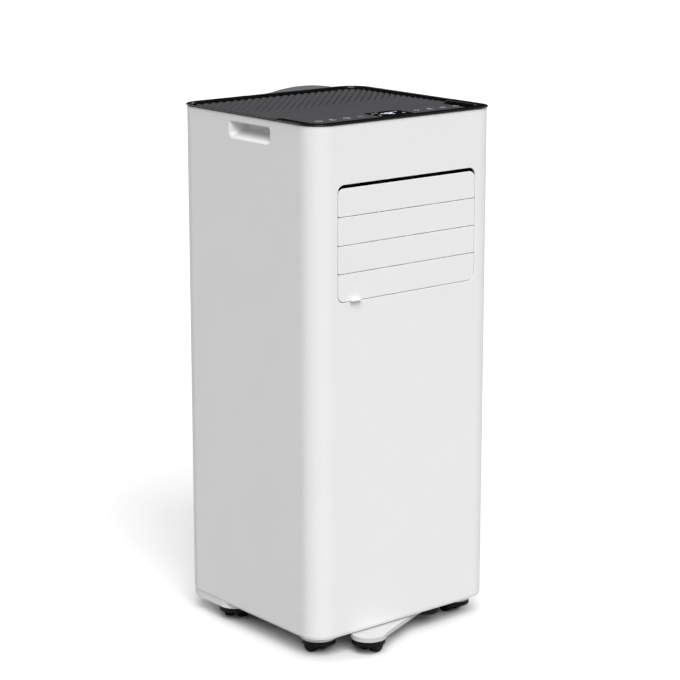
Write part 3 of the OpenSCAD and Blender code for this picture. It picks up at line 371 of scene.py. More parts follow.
def outward(points):  # mitred outward direction at each point of a counterclockwise loop
    found = []
    for i, p in enumerate(points):
        a, b = Vector(points[i - 1]), Vector(points[(i + 1) % len(points)])
        before = (Vector(p) - a).normalized()
        after = (b - Vector(p)).normalized()
        n = Vector((before.y, -before.x)) + Vector((after.y, -after.x))
        found.append(n*(2/max(n.length_squared, 0.5)))
    return found


def grown(points, amount):
    return [(p[0] + n.x*amount, p[1] + n.y*amount) for p, n in zip(points, outward(points))]


def loft(mesh, loops, closed=True):
    rings = [[mesh.verts.new(p) for p in loop] for loop in loops]
    for a, b in zip(rings, rings[1:]):
        for i in range(len(a) if closed else len(a) - 1):
            j = (i + 1) % len(a)
            mesh.faces.new((a[i], a[j], b[j], b[i]))
    return rings


def inside(point, loop):
    hit = False
    for i, a in enumerate(loop):
        b = loop[i - 1]
        if (a[1] > point[1]) != (b[1] > point[1]):
            if point[0] < (b[0] - a[0])*(point[1] - a[1])/(b[1] - a[1]) + a[0]:
                hit = not hit
    return hit


def fillRegion(mesh, outer, holes, place, lines=()):  # flat or wrapped face between loops
    points, edges = [], []
    for loop in [outer, *holes]:
        start = len(points)
        points += [Vector(p) for p in loop]
        edges += [(start + i, start + (i + 1) % len(loop)) for i in range(len(loop))]
    for a, b in lines:
        points += [Vector(a), Vector(b)]
        edges.append((len(points) - 2, len(points) - 1))
    found = delaunay_2d_cdt(points, edges, [], 0, 1e-7)
    made = [mesh.verts.new(place(p.x, p.y)) for p in found[0]]
    for face in found[2]:
        middle = sum((found[0][i] for i in face), Vector((0, 0)))/len(face)
        if inside(middle, outer) and not any(inside(middle, h) for h in holes):
            mesh.faces.new([made[i] for i in face])
    bmesh.ops.delete(mesh, geom=[v for v in made if not v.link_faces], context="VERTS")


def arcSteps(radius, steps=4):  # (inset, level) pairs of a quarter round, from the face to the side
    return [(radius*(1 - math.sin(math.pi/2*i/steps)), radius*(1 - math.cos(math.pi/2*i/steps)))
            for i in range(steps + 1)]


def addPlate(mesh, outline, low, high, place, topEdge, lowEdge=0.2*mm, steps=4):
    # closed plate between two levels with rounded edges; place(u, v, level) puts a point in the frame
    loops = [[place(*p, low + d) for p in grown(outline, -inset)] for inset, d in arcSteps(lowEdge, 2)]
    loops += [[place(*p, high - d) for p in grown(outline, -inset)]
              for inset, d in reversed(arcSteps(topEdge, steps))]
    rings = loft(mesh, loops)
    mesh.faces.new(rings[0][::-1])
    mesh.faces.new(rings[-1])


def addLathe(mesh, profile, centre, axis, steps=64):  # closed turned shape from (radius, height) points
    axis = Vector(axis).normalized()
    side = axis.orthogonal().normalized()
    other = axis.cross(side)
    loops = []
    for radius, height in profile:
        loops.append([Vector(centre) + axis*height + (side*math.cos(t) + other*math.sin(t))*radius
                      for t in (2*math.pi*i/steps for i in range(steps))])
    rings = loft(mesh, loops)
    mesh.faces.new(rings[0][::-1])
    mesh.faces.new(rings[-1])


def roundedBar(radius, low, high, edge, steps=3):  # profile of a turned piece with rounded ends
    profile = [(radius - inset, low + d) for inset, d in arcSteps(edge, steps)]
    return profile + [(radius - inset, high - d) for inset, d in reversed(arcSteps(edge, steps))]


def finishPiece(name, mesh, node, material=None, replaced=None, sharp=32, weld=2e-7):
    # node gives the body and slot; replaced is what the piece stands for, by default that node
    bmesh.ops.remove_doubles(mesh, verts=mesh.verts, dist=weld)
    bmesh.ops.recalc_face_normals(mesh, faces=mesh.faces)
    for face in mesh.faces:
        face.smooth = True
    for edge in mesh.edges:
        edge.smooth = len(edge.link_faces) == 2 and edge.calc_face_angle(0) < math.radians(sharp)
    data = bpy.data.meshes.new(name)
    mesh.to_mesh(data)
    mesh.free()
    data.materials.append(material or slotMaterials[slotOf[node]])
    piece = bpy.data.objects.new(name, data)
    bpy.context.scene.collection.objects.link(piece)
    weighted = piece.modifiers.new("evenFaces", "WEIGHTED_NORMAL")
    weighted.keep_sharp = True
    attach(piece, bodyOf[node])
    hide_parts(*([node] if replaced is None else replaced))
    return piece


def softened(node, radius, segments=2, sharp=40):  # a node's own shape with its edges eased
    mesh = bmesh.new()
    mesh.from_mesh(frame["nodes"][node].data)
    bmesh.ops.remove_doubles(mesh, verts=mesh.verts, dist=2e-6)
    bmesh.ops.dissolve_limit(mesh, angle_limit=math.radians(1), verts=mesh.verts, edges=mesh.edges)
    edges = [e for e in mesh.edges if len(e.link_faces) == 2
             and e.calc_face_angle(0) > math.radians(sharp)]
    bmesh.ops.bevel(mesh, geom=edges, offset=radius, offset_type="OFFSET", segments=segments,
                    profile=0.5, affect="EDGES", clamp_overlap=True)
    return finishPiece(node + "_eased", mesh, node)


# ---- camera, floor and light ----

cameraSet = {"place": (-1.8201, -2.2200, 1.0687), "yaw": 39.437, "down": 13.558, "lens": 117.85}
yaw, down = math.radians(cameraSet["yaw"]), math.radians(cameraSet["down"])
looking = Vector((math.sin(yaw)*math.cos(down), math.cos(yaw)*math.cos(down), -math.sin(down)))
camera = bpy.data.objects.new("camera", bpy.data.cameras.new("camera"))
camera.location = cameraSet["place"]
camera.rotation_mode = "QUATERNION"
camera.rotation_quaternion = looking.to_track_quat("-Z", "Y")
camera.data.lens = cameraSet["lens"]
bpy.context.scene.collection.objects.link(camera)
bpy.context.scene.camera = camera
bpy.context.scene.view_settings.view_transform = "Standard"

studio = {"backdrop": "#FFFFFF", "low": 0.01, "high": 0.42, "lowEdge": 0.28, "highEdge": 0.75,
          "floor": "#F3F3F3", "bounce": "#ABABAB", "floorSize": 60.0}
world = bpy.data.worlds.new("studio")
world.use_nodes = True
bpy.context.scene.world = world
tree = world.node_tree
tree.nodes.clear()
# The room is dark low down and softly lit overhead, and looks as white as the floor behind the object.
way = addNode(tree, "ShaderNodeTexCoord")
parts = addNode(tree, "ShaderNodeSeparateXYZ", {}, {"Vector": way.outputs["Generated"]})
rise = addNode(tree, "ShaderNodeMapRange", {"From Min": studio["lowEdge"], "From Max": studio["highEdge"],
                                            "To Min": studio["low"], "To Max": studio["high"]},
               {"Value": parts.outputs["Z"]})
seen = addNode(tree, "ShaderNodeLightPath")
room = addNode(tree, "ShaderNodeBackground", {"Color": linear(studio["backdrop"])},
               {"Strength": rise.outputs["Result"]})
behind = addNode(tree, "ShaderNodeBackground", {"Color": linear(studio["backdrop"]), "Strength": 1.0})
mixed = addNode(tree, "ShaderNodeMixShader", {}, {0: seen.outputs["Is Camera Ray"],
                                                  1: room.outputs[0], 2: behind.outputs[0]})
addNode(tree, "ShaderNodeOutputWorld", {}, {"Surface": mixed.outputs[0]})


def floorPaint():  # matt studio paint, which the object sees as a duller floor than the camera does
    material, tree = startMaterial("rolledStudioPaint")
    place = addNode(tree, "ShaderNodeTexCoord")
    stipple = addNode(tree, "ShaderNodeTexNoise", {"Scale": 400.0}, {"Vector": place.outputs["Object"]})
    relief = addNode(tree, "ShaderNodeBump", {"Strength": 0.1, "Distance": 0.2*mm},
                     {"Height": stipple.outputs["Fac"]})
    pale = addNode(tree, "ShaderNodeBsdfDiffuse", {"Color": linear(studio["floor"])},
                   {"Normal": relief.outputs["Normal"]})
    dull = addNode(tree, "ShaderNodeBsdfDiffuse", {"Color": linear(studio["bounce"])},
                   {"Normal": relief.outputs["Normal"]})
    seen = addNode(tree, "ShaderNodeLightPath")
    mixed = addNode(tree, "ShaderNodeMixShader", {}, {0: seen.outputs["Is Camera Ray"],
                                                      1: dull.outputs[0], 2: pale.outputs[0]})
    addNode(tree, "ShaderNodeOutputMaterial", {}, {"Surface": mixed.outputs[0]})
    return material


half = studio["floorSize"]/2
floorMesh = bpy.data.meshes.new("floor")
floorMesh.from_pydata([(-half, -half, 0), (half, -half, 0), (half, half, 0), (-half, half, 0)], [],
                      [(0, 1, 2, 3)])
floorMesh.materials.append(floorPaint())
floor = bpy.data.objects.new("floor", floorMesh)
bpy.context.scene.collection.objects.link(floor)


def aimed(light, place, target):
    light.location = place
    light.rotation_mode = "QUATERNION"
    light.rotation_quaternion = (Vector(target) - Vector(place)).to_track_quat("-Z", "Y")
    bpy.context.scene.collection.objects.link(light)


# Three wide banks light floor and object evenly at any distance, as suns of a broad angle.
banks = {
    "key": {"from": (-0.326, -0.597, 0.73), "power": 3.05, "angle": 50},
    "right": {"from": (1.0, -0.1, 0.5), "power": 0.95, "angle": 40},
    "behind": {"from": (0.0, 1.0, 0.55), "power": 1.0, "angle": 30},
}
for name, bank in banks.items():
    lamp = bpy.data.lights.new(name, "SUN")
    lamp.energy = bank["power"]
    lamp.angle = math.radians(bank["angle"])
    aimed(bpy.data.objects.new(name, lamp), bank["from"], (0, 0, 0))
print("studio ready")


# ---- cabinet shells ----

frontLow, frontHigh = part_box("front_panel")
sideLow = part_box("left_side_panel")[0]
shell = {"wall": 2.5*mm, "seam": 0.28*mm, "bendSteps": 14}
halfW, halfD = frontHigh.x, -frontLow.y
shellLow, shellHigh = frontLow.z, frontHigh.z
bend = sideLow.y + halfD          # plan radius of the upright corners
arc = bend*math.pi/2
frontFlat, sideFlat = halfW - bend, 2*(halfD - bend)
sideStart = frontFlat + arc
rearStart = sideStart + sideFlat
rearEnd = rearStart + 2*arc + 2*frontFlat


def onCabinet(u, z, depth):  # u runs round the cabinet from the middle of its front, towards +X
    if u < 0:
        point = onCabinet(-u, z, depth)
        return Vector((-point.x, point.y, point.z))
    if u <= frontFlat:
        return Vector((u, depth - halfD, z))
    if sideStart <= u <= rearStart:
        return Vector((halfW - depth, u - sideStart - halfD + bend, z))
    if rearStart + arc <= u <= rearEnd - arc:
        return Vector((frontFlat - (u - rearStart - arc), halfD - depth, z))
    starts = ((frontFlat, -90, frontFlat, -halfD + bend), (rearStart, 0, frontFlat, halfD - bend),
              (rearEnd - arc, 90, -frontFlat, halfD - bend))
    begin, turn, cx, cy = [s for s in starts if u >= s[0]][-1]
    angle = math.radians(turn) + (u - begin)/bend
    reach = bend - depth
    return Vector((cx + reach*math.cos(angle), cy + reach*math.sin(angle), z))


def bendMarks(u0, u1):  # where the wrapped face needs a crease to follow the corners
    marks = []
    for begin in (frontFlat, rearStart, rearEnd - arc):
        marks += [begin + arc*i/shell["bendSteps"] for i in range(shell["bendSteps"] + 1)]
    marks += [-m for m in marks]
    return sorted({round(m, 7) for m in marks if u0 + 1*mm < m < u1 - 1*mm})


def addShell(mesh, u0, u1, holes=(), scoops=()):
    # holes are (loop, edge radius); scoops are (loop, function that lofts the hollow)
    marks = bendMarks(u0, u1)

    def edgeLoop(inset):
        a, b = u0 + inset, u1 - inset
        low, high = shellLow + inset, shellHigh - inset
        across = [a, *marks, b]
        return [(u, low) for u in across] + [(u, high) for u in reversed(across)]

    face = edgeLoop(shell["seam"])
    lines = [((m, face[0][1]), (m, face[-1][1])) for m in marks]
    wall = shell["wall"]
    for depth, grow in ((0, True), (wall, False)):
        cuts = [grown(loop, edge if grow else 0) for loop, edge in holes]
        cuts += [scoop["mouth"] if grow else scoop["back"] for scoop in scoops]
        outer = face if grow else edgeLoop(0)
        fillRegion(mesh, outer, cuts, lambda u, v, d=depth: onCabinet(u, v, d), lines)
    loft(mesh, [[onCabinet(*p, d) for p in edgeLoop(inset)] for inset, d in arcSteps(shell["seam"], 3)]
         + [[onCabinet(*p, wall) for p in edgeLoop(0)]])
    for loop, edge in holes:
        loft(mesh, [[onCabinet(*p, d) for p in grown(loop, inset)] for inset, d in arcSteps(edge)]
             + [[onCabinet(*p, wall) for p in loop]])
    for scoop in scoops:
        for rings in (scoop["hollow"], scoop["cup"]):
            made = loft(mesh, rings)
            mesh.faces.new(made[-1])


slatLow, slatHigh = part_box("louver_slat_4")[0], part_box("louver_slat_1")[1]
louver = {"gap": 0.8*mm, "topGap": 4.6*mm, "corner": 10*mm, "edge": 0.7*mm, "pinReach": 3.3*mm}
slatHalf = slatHigh.x - louver["pinReach"]  # the pins stand out beyond the plates
opening = (-slatHalf - louver["gap"], slatHalf + louver["gap"], slatLow.z - louver["gap"],
           slatHigh.z + louver["topGap"])

mesh = bmesh.new()
addShell(mesh, -sideStart, sideStart, holes=[(roundRect(*opening, louver["corner"]), louver["edge"])])
finishPiece("frontShell", mesh, "front_panel")

# Hand recess: crisp along its top and front edges, and running out softly at the bottom and back.
recess = {"height": 20*mm, "depth": 24*mm, "corner": 4*mm, "floorCorner": 3*mm, "skin": 2*mm,
          "crisp": 0.7*mm, "soft": 3.2*mm, "topDraft": 1.5*mm, "frontDraft": 2.5*mm,
          "lowDraft": 12.5*mm, "backDraft": 11*mm, "steps": 16, "ease": 0.5}
gripLow, gripHigh = openingBox("right_hand_recess")
gripBox = (gripLow.y - 1*mm, gripHigh.y + 1*mm, gripHigh.z + 0.5*mm - recess["height"],
           gripHigh.z + 0.5*mm)


def handScoop(uOf, flip):  # uOf turns a depth along the side into the way round the cabinet
    y0, y1, z0, z1 = gripBox
    rim = roundRect(y0, y1, z0, z1, recess["corner"], 10)
    seat = roundRect(y0 + recess["frontDraft"], y1 - recess["backDraft"], z0 + recess["lowDraft"],
                     z1 - recess["topDraft"], recess["floorCorner"], 10)
    normals = outward(rim)
    softness = [max(0.0, -n.y, n.x) for n in normals]
    reach = [recess["crisp"] + (recess["soft"] - recess["crisp"])*s for s in softness]
    mouth = [Vector(p) + n*e for p, n, e in zip(rim, normals, reach)]
    hollow, cup = [], []
    for k in range(recess["steps"] + 1):
        t = k/recess["steps"]
        ring, shadow = [], []
        for p, q, n in zip(mouth, seat, normals):
            q = Vector(q)
            pull = recess["ease"]*(p - q).length
            a, b = p - n.normalized()*pull, q + n.normalized()*pull
            flat = p*(1 - t)**3 + a*3*t*(1 - t)**2 + b*3*t*t*(1 - t) + q*t**3
            deep = recess["depth"]*(3*t*t*(1 - t) + t**3)
            ring.append((flat, deep))
            shadow.append((flat + n.normalized()*recess["skin"],
                           shell["wall"] + deep*(1 + (recess["skin"] - shell["wall"])/recess["depth"])))
        hollow.append([onCabinet(uOf(p.x), p.y, d) for p, d in ring])
        cup.append([onCabinet(uOf(p.x), p.y, d) for p, d in shadow])
        if k == 0:
            back = [(uOf(p.x), p.y) for p, d in shadow]
    order = -1 if flip else 1
    return {"mouth": [(uOf(p.x), p.y) for p in mouth][::order], "back": back[::order],
            "hollow": [r[::order] for r in hollow], "cup": [r[::order] for r in cup]}


sides = {
    "right": (sideStart, rearStart, lambda y: sideStart + y + halfD - bend, False),
    "left": (-rearStart, -sideStart, lambda y: -(sideStart + y + halfD - bend), True),
}
for side, (u0, u1, uOf, flip) in sides.items():
    mesh = bmesh.new()
    addShell(mesh, u0, u1, scoops=[handScoop(uOf, flip)])
    finishPiece(side + "SideShell", mesh, side + "_side_panel")


def uRear(x):  # a place across the back as the way round the cabinet
    return rearStart + arc + frontFlat - x


def backRect(x0, x1, z0, z1, r):
    return roundRect(uRear(x1), uRear(x0), z0, z1, r, 6)


back = {"grilleLip": 3*mm, "grilleCorner": 2*mm, "ductCorner": 8*mm, "ductWide": 120*mm,
        "ductTall": 142*mm, "ductInset": 4*mm, "glandHole": 8.8*mm, "nozzleHole": 9*mm, "edge": 0.5*mm}
ductLow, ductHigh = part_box("exhaust_duct")
upperLow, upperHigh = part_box("upper_intake_grille")
lowerLow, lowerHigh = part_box("lower_intake_grille")
glandLow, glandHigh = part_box("cord_gland")
nozzleLow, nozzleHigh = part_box("drain_nozzle")
holes = []
for low, high in ((upperLow, upperHigh), (lowerLow, lowerHigh)):
    lip = back["grilleLip"]
    holes.append((backRect(low.x + lip, high.x - lip, low.z + lip, high.z - lip,
                           back["grilleCorner"]), back["edge"]))
ductX, ductTop = ductLow.x + back["ductInset"], ductHigh.z - back["ductInset"]
holes.append((backRect(ductX, ductX + back["ductWide"], ductTop - back["ductTall"], ductTop,
                       back["ductCorner"]), back["edge"]))
for low, high, r in ((glandLow, glandHigh, back["glandHole"]), (nozzleLow, nozzleHigh, back["nozzleHole"])):
    holes.append((ringPoints(uRear((low.x + high.x)/2), (low.z + high.z)/2, r, 32), back["edge"]))
mesh = bmesh.new()
addShell(mesh, rearStart, rearEnd, holes=holes)
finishPiece("rearShell", mesh, "rear_panel")
print("shells done")


# ---- louver slats ----

slat = {"thick": 2.2*mm, "edge": 0.55*mm, "gap": 0.8*mm, "corner": 9.4*mm, "small": 0.9*mm, "tuck": 2.4*mm,
        "lugHalf": 3.5*mm, "lugThick": 2*mm, "pin": 1.42*mm, "crankPin": 4*mm,
        "tabWidth": 16*mm, "tabReach": 6*mm, "tabThick": 3.2*mm, "tabSide": 18*mm}


def slatOutline(low, high, topRound, lowRound):
    points = []
    corners = ((high.x, low.z, lowRound, -90), (high.x, high.z, topRound, 0),
               (low.x, high.z, topRound, 90), (low.x, low.z, lowRound, 180))
    for x, z, r, start in corners:
        cx = x - r if x > 0 else x + r
        cz = z + r if z == low.z else z - r
        points += [(cx + r*math.cos(math.radians(start + 9*i)), cz + r*math.sin(math.radians(start + 9*i)))
                   for i in range(11)]
    return points


def addLug(mesh, x, pivot, crankY):  # end plate that reaches back to the pivot, and to the crank pin
    h = slat["lugHalf"]
    front = -halfD + slat["thick"]/2
    endY = crankY if crankY else pivot[1]
    outline = [(front, pivot[2] - h), (endY, pivot[2] - h)]
    outline += [(endY + h*math.cos(a), pivot[2] + h*math.sin(a))
                for a in (math.radians(-75 + 15*i) for i in range(11))]
    outline += [(endY, pivot[2] + h), (front, pivot[2] + h)]
    start = x - slat["lugThick"]/2
    addPlate(mesh, outline, start, start + slat["lugThick"], lambda u, v, w: Vector((w, u, v)),
             0.25*mm, 0.25*mm, 2)


for i in range(1, 5):
    name = "louver_slat_%d" % i
    low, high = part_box(name)
    pivot = jointNamed("louver_tilt_%d" % i)["pos_m"]
    crankY = high.y - slat["lugHalf"]
    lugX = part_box("louver_link")[1].x + 0.4*mm + slat["lugThick"]/2
    plateLow = Vector((-slatHalf, 0, high.z - (slatHigh.z - slatLow.z - 3*slat["gap"])/4))
    plateHigh = Vector((slatHalf, 0, high.z))
    if i > 1:
        plateHigh.z = pivot[2] + (slatHigh.z - jointNamed("louver_tilt_1")["pos_m"][2])
        plateLow.z = plateHigh.z - (slatHigh.z - slatLow.z - 3*slat["gap"])/4
    topRound = slat["corner"] if i == 1 else slat["small"]
    lowRound = slat["corner"] if i == 4 else slat["tuck"]
    mesh = bmesh.new()
    addPlate(mesh, slatOutline(plateLow, plateHigh, topRound, lowRound), halfD - slat["thick"], halfD,
             lambda u, v, w: Vector((u, -w, v)), slat["edge"], 0.3*mm)
    for s in (-1, 1):
        addLug(mesh, s*lugX, pivot, crankY if s > 0 else None)
        end = s*(lugX - slat["lugThick"]/2)
        addLathe(mesh, roundedBar(slat["pin"], 0, abs(high.x - abs(end)) if s > 0 else abs(low.x - end),
                                  0.3*mm), (end, pivot[1], pivot[2]), (s, 0, 0), 24)
    addLathe(mesh, roundedBar(slat["pin"], 0, slat["crankPin"] + 1*mm, 0.3*mm),
             (lugX, crankY, pivot[2]), (-1, 0, 0), 24)
    if i == 4:  # hand tab: a small shelf with rounded corners along the lower edge
        tabLow = -slatHalf + slat["tabSide"]
        outline = roundRect(tabLow, tabLow + slat["tabWidth"], halfD - slat["thick"]/2,
                            halfD + slat["tabReach"], 2.4*mm, 6)
        addPlate(mesh, outline, plateLow.z, plateLow.z + slat["tabThick"],
                 lambda u, v, w: Vector((u, -v, w)), 1.2*mm, 0.8*mm)
    finishPiece("slat%d" % i, mesh, name)
print("louver done")


# ---- lid ----

lidLow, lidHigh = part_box("top_cover")
panelLow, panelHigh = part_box("control_panel")
windowLow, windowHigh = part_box("display_window")
lid = {"ridgePitch": 8.4*mm, "ridgeHeight": 1.8*mm, "steep": 1.5*mm, "floorDrop": 3*mm,
       "rimEdge": 0.8*mm, "lip": 4.6*mm, "frontLip": 14*mm, "wallRun": 1.2*mm, "step": 9*mm,
       "ridgeGap": 1.2*mm, "zoneDepth": 70*mm, "zoneCorner": 14*mm, "fade": 0.8, "bedRun": 0.5,
       "bridgeSide": 3*mm, "trayInset": 6.5*mm, "underRise": 0.9*mm, "grooveWide": 0.9*mm}
lidTop, lidFloor = lidHigh.z, shellHigh - lid["floorDrop"]
rimOut = lidHigh.x - halfW
zoneFront = -halfD + lid["frontLip"]
zoneBack = zoneFront + lid["zoneDepth"]


def flatPlace(z):
    return lambda u, v: Vector((u, v, z))


def flat(u, v, w):
    return Vector((u, v, w))


def lidOutline(inset, steps=16):
    w, d = halfW + rimOut - inset, halfD + rimOut - inset
    return roundRect(-w, w, -d, d, max(bend + rimOut - inset, 2*mm), steps)


def recessOutline(inset):
    # the sunk part of the lid: wide at the back, stepped in round the control strip at the front
    wide, deep = halfW + rimOut - lid["lip"] - inset, halfD + rimOut - lid["lip"] - inset
    strip = halfW - lid["frontLip"] - inset
    front = zoneFront + inset
    r, backR = lid["zoneCorner"] - inset, bend + rimOut - lid["lip"] - inset
    points = []

    def sweep(cx, cy, radius, start, end, count):
        for i in range(count + 1):
            a = math.radians(start + (end - start)*i/count)
            points.append((cx + radius*math.cos(a), cy + radius*math.sin(a)))

    inner = lid["step"]*0.45
    sweep(strip - r, front + r, r, -90, 0, 10)
    sweep(strip + inner, zoneBack - inner + inset, inner, 180, 90, 6)
    sweep(wide - inner*0.5, zoneBack + inner*0.5 + inset, inner*0.5, -90, 0, 5)
    sweep(wide - backR, deep - backR, backR, 0, 90, 14)
    sweep(-wide + backR, deep - backR, backR, 90, 180, 14)
    sweep(-wide + inner*0.5, zoneBack + inner*0.5 + inset, inner*0.5, 180, 270, 5)
    sweep(-strip - inner, zoneBack - inner + inset, inner, 90, 0, 6)
    sweep(-strip + r, front + r, r, 180, 270, 10)
    return points


def clipBand(outline, low, high):  # convex outline cut to a band between two places across the ridges
    def cut(points, limit, keepAbove):
        kept = []
        for i, p in enumerate(points):
            q = points[(i + 1) % len(points)]
            a, b = across(p) - limit, across(q) - limit
            if (a >= 0) == keepAbove:
                kept.append(p)
            if (a >= 0) != (b >= 0):
                t = a/(a - b)
                kept.append((p[0] + (q[0] - p[0])*t, p[1] + (q[1] - p[1])*t))
        return kept
    points = cut(outline, low, True)
    return cut(points, high, False) if points else []


def across(p):  # distance of a plan point measured across the ridges, which run at 45 degrees
    return (p[0] - p[1])/math.sqrt(2)


mesh = bmesh.new()
loops = [[Vector((*p, lidLow.z)) for p in lidOutline(lid["trayInset"])],
         [Vector((*p, shellHigh)) for p in lidOutline(lid["trayInset"])],
         [Vector((*p, shellHigh)) for p in lidOutline(rimOut)]]
loops.append([Vector((*p, shellHigh + lid["underRise"])) for p in lidOutline(0.1*mm)])
loops += [[Vector((*p, lidTop - d)) for p in lidOutline(inset)]
          for inset, d in reversed(arcSteps(lid["rimEdge"], 5))]
rings = loft(mesh, loops)
mesh.faces.new(rings[0][::-1])
lipEdge = arcSteps(lid["rimEdge"], 4)
fillRegion(mesh, lidOutline(lid["rimEdge"]), [recessOutline(-lid["rimEdge"])], flatPlace(lidTop))
wallLoops = [[Vector((*p, lidTop - d)) for p in recessOutline(-inset)] for inset, d in lipEdge]
wallLoops += [[Vector((*p, lidFloor + 0.5*mm)) for p in recessOutline(lid["wallRun"])],
              [Vector((*p, lidFloor)) for p in recessOutline(lid["wallRun"] + 0.5*mm)]]
loft(mesh, wallLoops)
fillRegion(mesh, recessOutline(lid["wallRun"] + 0.5*mm), [], flatPlace(lidFloor))
finishPiece("lidTray", mesh, "top_cover")

# Ridges: each is a long wedge, a broad gentle face and a short steep one, cut to the sunk field.
mesh = bmesh.new()
fieldInset = lid["lip"] + lid["wallRun"] + lid["ridgeGap"]
fieldW, fieldD = halfW + rimOut - fieldInset, halfD + rimOut - fieldInset
field = roundRect(-fieldW, fieldW, -fieldD, fieldD, bend + rimOut - fieldInset, 14)
fieldFront = zoneBack + lid["ridgeGap"] + 1*mm
field = [p for p in field if p[1] >= fieldFront]
field = [(fieldW, fieldFront)] + field + [(-fieldW, fieldFront)]
limit = max(abs(across(p)) for p in field)
count = int(2*limit/lid["ridgePitch"]) + 2
top, baseZ = lidFloor + lid["ridgeHeight"], lidFloor - 0.3*mm
for k in range(count):
    start = -limit + (k - 0.5)*lid["ridgePitch"]
    crest = start + lid["steep"]
    end = start + lid["ridgePitch"] - lid["grooveWide"]
    levels = ((start, lidFloor - 0.3*mm), (start + 0.15*mm, lidFloor + 0.25*mm),
              (crest - 0.35*mm, top - 0.12*mm), (crest, top), (crest + 0.5*mm, top - 0.05*mm),
              (end - 0.2*mm, lidFloor + 0.3*mm), (end, lidFloor - 0.3*mm))

    def height(p, levels=levels):
        d = across(p)
        for (a, za), (b, zb) in zip(levels, levels[1:]):
            if d <= b + 1e-9:
                return za + (zb - za)*max(0.0, min(1.0, (d - a)/(b - a)))
        return levels[-1][1]

    whole = clipBand(field, levels[0][0], levels[-1][0])
    if len(whole) < 3:
        continue
    for (a, za), (b, zb) in zip(levels, levels[1:]):
        band = clipBand(field, a, b)
        if len(band) > 2:
            mesh.faces.new([mesh.verts.new((*p, height(p))) for p in band])
    border = []
    for i, p in enumerate(whole):
        q = whole[(i + 1) % len(whole)]
        stops = [0.0]
        if abs(across(q) - across(p)) > 1e-9:
            stops += sorted(t for t in ((a - across(p))/(across(q) - across(p)) for a, z in levels)
                            if 1e-5 < t < 1 - 1e-5)
        border += [(p[0] + (q[0] - p[0])*t, p[1] + (q[1] - p[1])*t) for t in stops]
    upper = [mesh.verts.new((*p, height(p))) for p in border]
    lower = [mesh.verts.new((*p, baseZ)) for p in border]
    for i in range(len(border)):
        j = (i + 1) % len(border)
        if max(upper[i].co.z, upper[j].co.z) > baseZ + 1e-6:
            mesh.faces.new((upper[i], upper[j], lower[j], lower[i]))
    mesh.faces.new(lower[::-1])
# The grooves grow shallow toward the controls: a sloping bed fills them from below.
bedBack, bedTop = fieldFront + lid["bedRun"]*(fieldD - fieldFront), lidFloor + lid["fade"]*lid["ridgeHeight"]
bed = [(-fieldW, fieldFront, bedTop), (fieldW, fieldFront, bedTop), (fieldW, bedBack, lidFloor - 0.1*mm),
       (-fieldW, bedBack, lidFloor - 0.1*mm)]
rings = loft(mesh, [[(x, y, baseZ) for x, y, z in bed], bed])
mesh.faces.new(rings[0][::-1])
mesh.faces.new(rings[1])
bmesh.ops.remove_doubles(mesh, verts=mesh.verts, dist=1e-6)
bridgeW = halfW - lid["frontLip"] - lid["bridgeSide"]  # smooth strip from the ridges to the touch panel
bridgeFront, bridgeBack = panelHigh.y + 0.1*mm, fieldFront + 0.3*mm


def ramp(u, v, w):  # level with the touch panel in front, and with the ridges' crests behind
    rise = (top - panelHigh.z)*(v - bridgeFront)/(bridgeBack - bridgeFront)
    return Vector((u, v, w + rise if w > lidFloor else w))


addPlate(mesh, roundRect(-bridgeW, bridgeW, bridgeFront, bridgeBack, 1*mm, 4), baseZ, panelHigh.z, ramp,
         0.2*mm)
# The ridges take the lighter black, whose base colour holds a painted sheen.
finishPiece("lidRidges", mesh, "top_cover", material=mouldedPlastic(ridgeSheenAbs), replaced=[], sharp=20)

mesh = bmesh.new()
addPlate(mesh, roundRect(panelLow.x, panelHigh.x, panelLow.y, panelHigh.y, 10*mm, 10), lidFloor,
         panelHigh.z, flat, 0.35*mm)
finishPiece("touchPanel", mesh, "control_panel")
mesh = bmesh.new()
addPlate(mesh, roundRect(windowLow.x, windowHigh.x, windowLow.y, windowHigh.y, 6.5*mm, 10),
         panelHigh.z - 0.2*mm, windowHigh.z, flat, 0.15*mm)
finishPiece("displayWindow", mesh, "display_window")

# Symbols are thin prints on the panel: closed outlines a little proud of it.
symbols = {"size": 8.6*mm, "small": 4.6*mm, "line": 0.95*mm, "print": 0.12*mm, "first": 18*mm,
           "pitch": 22.5*mm, "rise": 0.1*mm}
midX, midY = (windowLow.x + windowHigh.x)/2, (windowLow.y + windowHigh.y)/2


def addRing(mesh, cu, cv, radius, line, low, high, start=0, sweep=360, steps=28):
    full = sweep >= 360
    count = steps if full else steps + 1
    turns = [math.radians(start + sweep*i/steps) for i in range(count)]
    loops = []
    for r, z in ((radius - line/2, low), (radius + line/2, low), (radius + line/2, high),
                 (radius - line/2, high), (radius - line/2, low)):
        loops.append([Vector((cu + r*math.cos(t), cv + r*math.sin(t), z)) for t in turns])
    rings = loft(mesh, loops, closed=full)
    if not full:
        for end in (0, -1):
            mesh.faces.new([ring[end] for ring in rings[:4]])


def addStroke(mesh, a, b, line, low, high):
    a, b = Vector(a), Vector(b)
    along = (b - a).normalized()*line/2
    side = Vector((-along.y, along.x))
    outline = [a - along - side, b + along - side, b + along + side, a - along + side]
    addPlate(mesh, [tuple(p) for p in outline], low, high, flat, 0.02*mm, 0.02*mm, 1)


